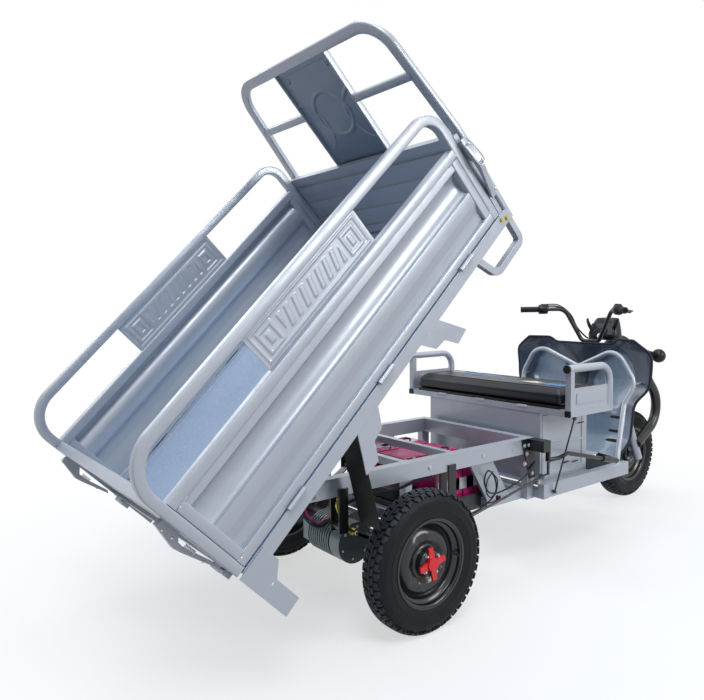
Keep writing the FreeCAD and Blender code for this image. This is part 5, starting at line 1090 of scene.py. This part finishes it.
def front_pressing():
    """High hoop: bent flat tube, cross bars, and the middle panel pressed with a ring, bows and bosses, in a
    darker silver that is painted shade.
    """
    u = FRONT_U
    points = [(u, -516, 49), (u, -516, 390), (u, -452, 838), (u, 452, 838), (u, 516, 390), (u, 516, 49)]
    patches = [sweep(bent(points, (236, 118, 118, 236), 20), box_ring(40, 22, 5), up=(1, 0, 0))]
    for side in (-1, 1):
        patches.append(sweep([(u, side * 170, 625), (u, side * 476, 625)], box_ring(22, 30, 4)))
        edge = [(u, side * 166, 358), (u, side * 166, 822)]
        patches.append(sweep(edge, box_ring(24, 5, 1.5), up=(0, 1, 0)))
    own("front_hoop_tube", patches, "silver", "load_bed", smooth=40, node="front_hoop", place=bed)
    v, w = net((-165, 165, 130), (357, 822, 180))
    far = np.hypot(v, w - 600)
    height = 4 * (1 - step(np.abs(far - 96) - 5, 0, 5))
    for side in (-1, 1):
        bow = np.abs(np.hypot(v - side * 190, w - 560) - 118) - 4
        height = np.maximum(height, 3 * (1 - step(bow, 0, 4)) * step(w, 440, 470) * (1 - step(w, 690, 730)))
        boss = np.hypot(v - side * 128, w - 780) - 9
        height = np.maximum(height, 3.5 * (1 - step(boss, 0, 4)))
    rimmed = np.maximum(np.abs(v) - 146, np.abs(w - 590) - 212)
    height = height - 3.0 * (1 - step(rimmed, -3, 3))
    back = np.stack([u - 1 - height, v, w], -1)
    # The panel takes the darker silver: painted shade on its back-facing side.
    own("front_hoop_panel", [slab(back, back + (2.5, 0, 0))], "silver_painted_shade", "load_bed", smooth=50, place=bed)


def make_hinges():
    """Knuckles of the hinges along both sills, bolts of the front plates and rivets of the boards."""
    heads, knuckles = [], []
    for side in (-1, 1):
        for u in HINGES:
            for at, long in ((u - 27, 24), (u, 26), (u + 27, 24)):
                pin = [(-long / 2, 0), (-long / 2, 8), (long / 2, 8), (long / 2, 0)]
                knuckles.append(lathe(pin, (at, side * 539, 51), (1, 0, 0), 20))
        for u, w in ((1501, 30), (1529, 17)):
            heads += bolt((u, side * 531.4, w), (0, side, 0), 6.5, 6)
    own("board_hinge_knuckles", knuckles, "silver", "load_bed", smooth=40, place=bed)
    own("bed_bolts", heads, "yellow_zinc", "load_bed", place=bed)
    for name, side in (("right", -1), ("left", 1)):
        places = [(u, side * BOARD["half"], w) for u, w in ((1475, 340), (1475, 90), (30, 80), (30, 330))]
        rivets = [rivet(at, (0, side, 0), 3.5, 1.4) for at in places]
        own("board_rivets_" + name, rivets, "zinc", name + "_board", place=bed)


def make_latches():
    """Bails, coil springs and rivets of the tailgate's latches, and bails and rivets at the front corners."""
    gate, front = [], []
    turns = np.linspace(0, 14 * math.pi, 140)
    for side in (-1, 1):
        v = side * 463
        bail = [(-22, v - 9, 318), (-34, v - 9, 282), (-43, v - 9, 246), (-45, v - 4, 232), (-45, v + 4, 232),
                (-43, v + 9, 246), (-34, v + 9, 282), (-22, v + 9, 318)]
        gate.append(wire(bail, 2.4, 36, up=(0, 1, 0.1)))
        coil = np.stack([-34 + 6 * np.cos(turns), v + side * 16 + 6 * np.sin(turns), 180 + turns * 0.9], -1)
        gate.append(sweep(coil, ring(1.2, 6)))
        gate += [rivet((-38, v + side * 12, w), (0, side, 0), 4.5, 2.5) for w in (140, 262, 300)]
        front += [rivet((1526.5, side * 560, w), (0, side, 0), 5.5, 4) for w in (150, 345)]
        bail = [(1511, 548, 362), (1509, 560, 320), (1509, 569, 270), (1526, 571, 258), (1543, 569, 270),
                (1543, 560, 320), (1541, 548, 362)]
        front.append(wire(sided(bail, side), 2.6, 36, up=(0, 1, 0.1)))
    own("gate_latch_wires", gate, "zinc", "tailgate", place=bed)
    own("front_latch_wires", front, "zinc", "load_bed", place=bed)


def line_floor():
    """Bed floor with a pale blue-grey finish on the faces that look up between the sills: painted sky light.
    """
    floor = dress("bed_floor", "silver")
    floor.data.materials.append(FINISH["inside"])
    faces = floor.data.polygons
    middles, normals = np.empty(len(faces) * 3), np.empty(len(faces) * 3)
    faces.foreach_get("center", middles)
    faces.foreach_get("normal", normals)
    base, rise, across = bed([(0, 0, 0), (0, 0, 1), (0, 1, 0)])
    rise, across = (rise - base) / MM, (across - base) / MM
    places = middles.reshape(-1, 3) - base
    # Faces that look up between the sills take the painted sky light.
    inner = (places @ rise > INNER_HIGH) & (np.abs(places @ across) < INNER_HALF)
    inner &= normals.reshape(-1, 3) @ rise > 0.9
    faces.foreach_set("material_index", inner.astype(np.int32))


class TRIKE_OT_bed(bpy.types.Operator):
    """Pressed side boards with their hoops and plates, the front hoop, hinges, latches and rivets"""
    bl_idname = "trike.bed"
    bl_label = "Load bed"

    def execute(self, context):
        for name, side in (("right", -1), ("left", 1)):
            pressed_board(name, side)
            hoop_and_plate(name, side)
        front_pressing()
        make_hinges()
        make_latches()
        line_floor()
        for node in ("front_board", "bed_side_plates", "board_hinges", "bed_handles", "tailgate"):
            dress(node, "silver")
        dress("mud_flaps", "flap", 0.0015)
        return {"FINISHED"}


# Chassis, batteries, motor and brakes

# Battery case and its terminals' distances from its middle, the rails' outer face, and a U-bolt's outline
CASE_LONG, CASE_WIDE = 158, 172
POST_X, POST_Y = 56, 58
RAIL_FACE = 346.4
U_BOLT = ((-27, 238), (-27, 300), (-22, 318), (0, 326), (22, 318), (27, 300), (27, 238))


def make_batteries():
    """Battery cases with plain pale bands, terminals and the leads that join them."""
    low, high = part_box("batteries")
    dress("batteries", "battery", 0.003, 3)
    middle = (np.array(low) + np.array(high)) / 2 / MM
    middle[0] -= AXLE_X / MM
    top = high.z / MM
    long, wide = (high.x - low.x) / MM, (high.y - low.y) / MM
    columns = np.linspace(-1, 1, 3) * (long - CASE_LONG) / 2
    rows = list(zip(np.linspace(-1, 1, 2) * (wide - CASE_WIDE) / 2, (-1, 1)))
    u, v = net((-1, 1, 12), (-1, 1, 6))
    post = [(-2, 0), (-2, 9), (5, 9), (6, 6), (11, 6), (12, 4), (12, 0)]
    bands, posts, leads = [], [], []
    for x in columns:
        for y, side in rows:
            at = middle + (x, y, 0)
            lid = np.stack([at[0] + 66 * u, at[1] + 26 * v + 6 * u, np.full(u.shape, top + 0.6)], -1)
            bands.append(slab(lid, lid - (0, 0, 1.2)))
            wall = np.stack([at[0] + 62 * u, np.full(u.shape, at[1] + side * 86.8), top - 90 + 24 * v], -1)
            bands.append(slab(wall, wall - (0, side * 1.2, 0)))
            for way in (-1, 1):
                posts.append(lathe(post, (at[0] + way * POST_X, at[1] - side * POST_Y, top), (0, 0, 1), 16))
    for back, front in zip(columns, columns[1:]):
        for y, side in rows:
            y += middle[1] - side * POST_Y
            a, b = middle[0] + back + POST_X, middle[0] + front - POST_X
            route = [(a, y, top + 8), (a + 8, y + 6, top + 22), ((a + b) / 2, y + 14, top + 26),
                     (b - 8, y + 6, top + 22), (b, y, top + 8)]
            leads.append(wire(route, 4.5, 24, 10, up=(0, 1, 0.2)))
    own("battery_bands", bands, "band")
    own("battery_posts", posts, "zinc")
    own("battery_leads", leads, "rubber")


def make_motor():
    """Motor with its end cover's bolts, its three leads and a harness of five wires laid round a circle."""
    dress("drive_motor", "alloy", 0.001)
    heads = []
    for k in range(6):
        turn = math.radians(60 * k + 20)
        heads += bolt((-152 + 58 * math.cos(turn), -270, 297 + 58 * math.sin(turn)), (0, -1, 0), 5, 4)
    own("motor_bolts", heads, "zinc")
    leads = []
    for dx, dz in ((0, 0), (12, 4), (24, -2)):
        route = [(-150 + dx, -150, 368), (-150 + dx, -158, 400 + dz), (-120 + dx, -200, 430 + dz),
                 (-60 + dx, -250, 452 + dz), (10 + dx, -300, 470), (90 + dx, -318, 492),
                 (160 + dx, -318, 498)]
        leads.append(wire(route, 4.2, up=(0, 0.2, 1)))
    own("motor_leads", leads, "rubber")
    wraps = []
    for turn in 2 * math.pi * np.arange(5) / 5:
        dx, dz = 7 * math.cos(turn), 7 * math.sin(turn)
        route = [(-190 + dx, -170, 372 + dz), (-240, -230 + dx, 392 + dz), (-330, -290 + dx, 404 + dz),
                 (-372 + dx, -300, 436 + dz), (-396 + dx, -300 - dz, 474), (-404 + dx, -300 - dz, 505)]
        wraps.append(wire(route, 4.0, up=(0, 0.3, 1)))
    own("motor_harness", wraps[:2], "battery")
    own("motor_harness_black", wraps[2:4], "rubber")
    own("motor_harness_blue", wraps[4:], "blue")


def make_shackles():
    """Yellow zinc U-bolts on the leaf springs, and the right spring's flat link with its eyes and nuts."""
    hooks, nuts = [], []
    for side in (-1, 1):
        y = side * 326
        for x in (-22, 22):
            route = [(x, y + across, z) for across, z in U_BOLT]
            hooks.append(wire(route, 5, 40, 10, up=(1, 0, 0.1)))
            for way in (-1, 1):
                nuts += bolt((x, y + way * 27, 244), (0, 0, -1), 8, 8)
    y, link = -334, ((-262, 494), (-276, 480), (-268, 450), (-240, 398), (-222, 374), (-206, 366))
    hooks.append(sweep(curve([(x, y, z) for x, z in link], 24), box_ring(9, 17, 2.5), up=(1, 0, 0.4)))
    for x, z in (link[0], link[-1]):
        hooks.append(lathe([(-9, 0), (-9, 13), (9, 13), (9, 0)], (x, y, z), (0, 1, 0), 24))
        nuts += bolt((x, y - 9, z), (0, -1, 0), 8, 7)
    own("spring_u_bolts", hooks, "yellow_zinc")
    own("spring_nuts", nuts, "zinc")


def make_bolts():
    """Bolts of the brake bracket, and pairs of bolts along both rails."""
    heads = []
    for x, z in ((706, 548), (734, 548), (706, 470), (720, 512)):
        heads += bolt((x, -352.6, z), (0, -1, 0), 7.5, 7)
    for x, y, z in ((760, 352, 420), (640, RAIL_FACE, 540), (450, RAIL_FACE, 540), (-380, RAIL_FACE, 540),
                    (150, RAIL_FACE, 540)):
        for side in (-1, 1):
            heads += bolt((x, side * y, z), (0, side, 0), 6.5, 5)
    own("frame_bolts", heads, "zinc")


def make_brake_gear():
    """Return spring of the parking brake, its three cables and the clamps that hold them."""
    turns = np.linspace(0, 20 * math.pi, 260)
    y, z = -372 + 5.5 * np.cos(turns), 402 + 5.5 * np.sin(turns) - turns * 0.35
    spring = sweep(np.stack([756 + turns * 0.55, y, z], -1), ring(1.2, 6), up=(0, 0.1, 1))
    own("brake_return_spring", [spring], "zinc")
    routes = (([(776, -352, 470), (700, -362, 420), (600, -364, 392), (520, -360, 378), (470, -356, 392),
                (448, -354, 440), (470, -354, 478), (506, -354, 452), (520, -356, 404), (498, -358, 366),
                (420, -356, 330), (300, -340, 306), (120, -340, 286)], 3.4),
              ([(500, -354, 470), (462, -358, 440), (456, -358, 396), (482, -358, 366), (516, -358, 384),
                (524, -358, 430), (500, -356, 462)], 2.6),
              ([(760, -356, 384), (640, -362, 366), (540, -362, 350), (430, -350, 338)], 2.4))
    cables = [wire(route, radius, 110, up=(0, 1, 0.1)) for route, radius in routes]
    own("brake_cables", cables, "rubber")
    clamps = []
    for x, z in ((806, 402), (764, 386), (520, 360)):
        clamps.append(sweep([(x - 7, -372, z), (x + 7, -372, z - 3)], box_ring(26, 22, 4)))
        clamps += bolt((x, -383, z), (0, -1, 0), 7, 6)
    own("cable_clamps", clamps, "zinc")


def make_seat_trim():
    """Pale tabs under the cushion's front edge, caps in the arm rests' and frame's tube ends, and slots in
    the seat box drawn as thin black sheets of painted shade."""
    tabs = []
    for y in (-250, 0, 250):
        tabs.append(sweep([(815.8, y - 26, 699.5), (815.8, y + 26, 699.5)], box_ring(3.2, 11, 1.2)))
    own("seat_tabs", tabs, "band")
    caps, slots = [], []
    for side in (-1, 1):
        for x, z, profile in ((806, 880, ring(18.2, 24)), (816, 689, box_ring(28, 28, 4))):
            caps.append(sweep([(x - 3, side * 487, z), (x + 6, side * 487, z)], profile, size=[0.96, 1]))
        for x, z in ((1010, 430), (1080, 424), (1120, 600)):
            line = [(x - 22, side * 349.6, z - 1.5), (x + 22, side * 349.6, z + 1.5)]
            slots.append(sweep(line, box_ring(1.6, 5, 0.7)))
    own("tube_caps", caps, "black_plastic", edge=0.001)
    # Painted shade: thin black sheets stand for the openings of the slots.
    own("seat_box_slots", slots, "dark")


# Mat's ribs, in metres
RIB_HIGH, RIB_APART = 0.0022, 0.014


def make_mat():
    """Ribbed rubber mat: flat sheet whose height is a row of rounded ribs along it, plain at its edge."""
    low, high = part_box("floor_mat")
    x, y = np.meshgrid(np.linspace(low.x, high.x, 60), np.linspace(low.y, high.y, 301), indexing="ij")
    edge = np.minimum(np.minimum(x - low.x, high.x - x), np.minimum(y - low.y, high.y - y))
    wave = step(np.cos(2 * math.pi * y / RIB_APART), -0.4, 0.4)
    top = high.z - RIB_HIGH + RIB_HIGH * wave * step(edge, 0.006, 0.012)
    under = np.full(x.shape, low.z)
    sheet = slab(np.stack([x, y, top], -1), np.stack([x, y, under], -1))
    own("floor_mat_ribs", [sheet], "rubber", node="floor_mat", place=None)


class TRIKE_OT_works(bpy.types.Operator):
    """Chassis, batteries, motor, springs, brakes, mat and their small parts"""
    bl_idname = "trike.works"
    bl_label = "Chassis and works"

    def execute(self, context):
        make_batteries()
        make_motor()
        make_shackles()
        make_bolts()
        make_brake_gear()
        make_seat_trim()
        make_mat()
        for node in ("chassis_frame", "floor_frame", "seat_box", "seat_frame", "steering_head"):
            dress(node, "silver")
        for node in ("battery_tray", "rear_axle", "leaf_springs", "parking_brake", "brake_lines"):
            dress(node, "black_steel")
        for node in ("controller_box", "seat_board"):
            dress(node, "black_plastic")
        return {"FINISHED"}


class TRIKE_OT_finishes(bpy.types.Operator):
    """Makes every paint, plastic, rubber and metal finish"""
    bl_idname = "trike.finishes"
    bl_label = "Finishes"

    def execute(self, context):
        make_finishes()
        return {"FINISHED"}


# Stage

# Yaw, pitch and roll in degrees, place in metres from the rear axle, and focal length in mm
CAMERA_TURN = (52.59, -4.22, -0.53)
CAMERA_FROM_AXLE = (-1.60842, -2.16476, 1.17726)
CAMERA_LENS = 34.372
# Lamps: name, place, what they point at, power in W, width in metres and colour
LAMPS = (
    ("key", (2.2, -6.0, 3.4), (0.1, 0, 0.9), 200, 2.4, (1, 0.99, 0.97)),
    ("fill", (-2.6, -3.2, 6.2), (-0.8, 0.2, 1.1), 180, 2.4, (0.95, 0.98, 1)),
    ("top", (0.4, 0.4, 6.4), (0.2, 0, 0.8), 130, 3.6, (0.96, 0.98, 1)),
    ("back", (-1.2, 5.0, 3.6), (-0.4, 0, 1.0), 75, 3.0, (0.9, 0.95, 1)),
)


def photo_camera(scene):
    """Camera where the photograph was taken from, turned by yaw, pitch and a slight roll."""
    yaw, pitch, roll = (math.radians(angle) for angle in CAMERA_TURN)
    ahead = Vector((math.cos(pitch) * math.cos(yaw), math.cos(pitch) * math.sin(yaw), math.sin(pitch)))
    right = Vector((math.sin(yaw), -math.cos(yaw), 0))
    up = right.cross(ahead)
    turned = right * math.cos(roll) + up * math.sin(roll)
    upright = up * math.cos(roll) - right * math.sin(roll)
    basis = Matrix((turned, upright, -ahead)).transposed().to_4x4()
    x, y, z = CAMERA_FROM_AXLE
    basis.translation = Vector((x + AXLE_X, y, z))
    lens = bpy.data.cameras.new("photo_camera")
    lens.sensor_width = 36.0
    lens.sensor_fit = "HORIZONTAL"
    lens.lens = CAMERA_LENS
    lens.clip_end = 200
    view = linked("photo_camera", lens)
    view.matrix_world = basis
    scene.camera = view


def seen_ray(tree):
    """Light path, and a value of one where a ray comes from the camera, a mirror or glass, so that metal
    shows the white studio too."""
    path = put(tree, "ShaderNodeLightPath")
    mirrored = put(tree, "ShaderNodeMath", [(0, path, "Is Glossy Ray"), (1, path, "Is Transmission Ray")],
                   operation="MAXIMUM")
    seen = put(tree, "ShaderNodeMath", [(0, path, "Is Camera Ray"), (1, mirrored, 0)], operation="MAXIMUM")
    return path, seen


def studio_floor():
    """Pale floor that keeps the object's shadow near it and fades to plain white further off."""
    bpy.ops.mesh.primitive_plane_add(size=60, location=(0, 0, 0))
    ground = bpy.context.object
    ground.name = "studio_floor"
    made, tree, place = start("pale_studio_floor")
    far = put(tree, "ShaderNodeVectorMath", [(0, place, "Object")], operation="LENGTH")
    fade = spread(tree, far, "Value", 1.2, 2.6, 0.60, 1.0)
    path, seen = seen_ray(tree)
    share = put(tree, "ShaderNodeMath", [(0, fade, 0), (1, seen, 0)], operation="MULTIPLY")
    pale = put(tree, "ShaderNodeBsdfDiffuse", Color=tone("#E9EBED"))
    dim = put(tree, "ShaderNodeBsdfDiffuse", Color=tone("#666B72"))
    matt = put(tree, "ShaderNodeMixShader", [("Fac", path, "Is Diffuse Ray"), (1, pale, 0), (2, dim, 0)])
    white = put(tree, "ShaderNodeEmission", Color=(1, 1, 1, 1), Strength=1.0)
    mixed = put(tree, "ShaderNodeMixShader", [("Fac", share, 0), (1, matt, 0), (2, white, 0)])
    put(tree, "ShaderNodeOutputMaterial", [("Surface", mixed, 0)])
    ground.data.materials.append(made)


def studio_light(scene):
    """White backdrop, a soft sky for the shade and four large lamps."""
    world = bpy.data.worlds.new("soft_studio")
    scene.world = world
    world.use_nodes = True
    tree = world.node_tree
    tree.nodes.clear()
    seen = seen_ray(tree)[1]
    place = put(tree, "ShaderNodeTexCoord")
    split = put(tree, "ShaderNodeSeparateXYZ", [("Vector", place, "Generated")])
    sky = put(tree, "ShaderNodeValToRGB", [("Fac", split, "Z")])
    sky.color_ramp.elements[0].color = (0.10, 0.13, 0.18, 1)
    sky.color_ramp.elements[1].color = (0.86, 0.92, 1.0, 1)
    soft = put(tree, "ShaderNodeBackground", [("Color", sky, 0)], Strength=0.62)
    bare = put(tree, "ShaderNodeBackground", Color=(1, 1, 1, 1), Strength=1.0)
    mixed = put(tree, "ShaderNodeMixShader", [("Fac", seen, 0), (1, soft, 0), (2, bare, 0)])
    put(tree, "ShaderNodeOutputWorld", [("Surface", mixed, 0)])
    for name, at, aim, power, size, colour in LAMPS:
        lamp = bpy.data.lights.new(name, "AREA")
        lamp.energy = power
        lamp.size = size
        lamp.color = colour
        source = linked(name, lamp)
        source.location = at
        source.rotation_euler = (Vector(aim) - Vector(at)).to_track_quat("-Z", "Y").to_euler()


class TRIKE_OT_stage(bpy.types.Operator):
    """Camera at the photograph's angle, pale floor and soft studio light"""
    bl_idname = "trike.stage"
    bl_label = "Stage"

    def execute(self, context):
        scene = context.scene
        scene.view_settings.view_transform = "Standard"
        photo_camera(scene)
        studio_floor()
        studio_light(scene)
        return {"FINISHED"}


class TRIKE_PT_panel(bpy.types.Panel):
    """Lists the settings and the steps"""
    bl_label = "Tricycle"
    bl_idname = "TRIKE_PT_panel"
    bl_space_type = "VIEW_3D"
    bl_region_type = "UI"
    bl_category = "Tricycle"

    def draw(self, context):
        for name in TricycleSettings.__annotations__:
            self.layout.prop(context.scene.tricycle, name)
        for each in STEPS:
            self.layout.operator("trike." + each)


STEPS = ("finishes", "stage", "wheels", "seat", "front", "bed", "works")
CLASSES = (TricycleSettings, TRIKE_OT_finishes, TRIKE_OT_stage, TRIKE_OT_wheels, TRIKE_OT_seat,
           TRIKE_OT_front, TRIKE_OT_bed, TRIKE_OT_works, TRIKE_PT_panel)


def register():
    """Adds the classes and the settings."""
    for each in CLASSES:
        bpy.utils.register_class(each)
    bpy.types.Scene.tricycle = bpy.props.PointerProperty(type=TricycleSettings)


def unregister():
    """Takes the classes and the settings away."""
    del bpy.types.Scene.tricycle
    for each in reversed(CLASSES):
        bpy.utils.unregister_class(each)


def main():
    """Runs every step in order."""
    register()
    for each in STEPS:
        getattr(bpy.ops.trike, each)()


if __name__ == "__main__":
    main()
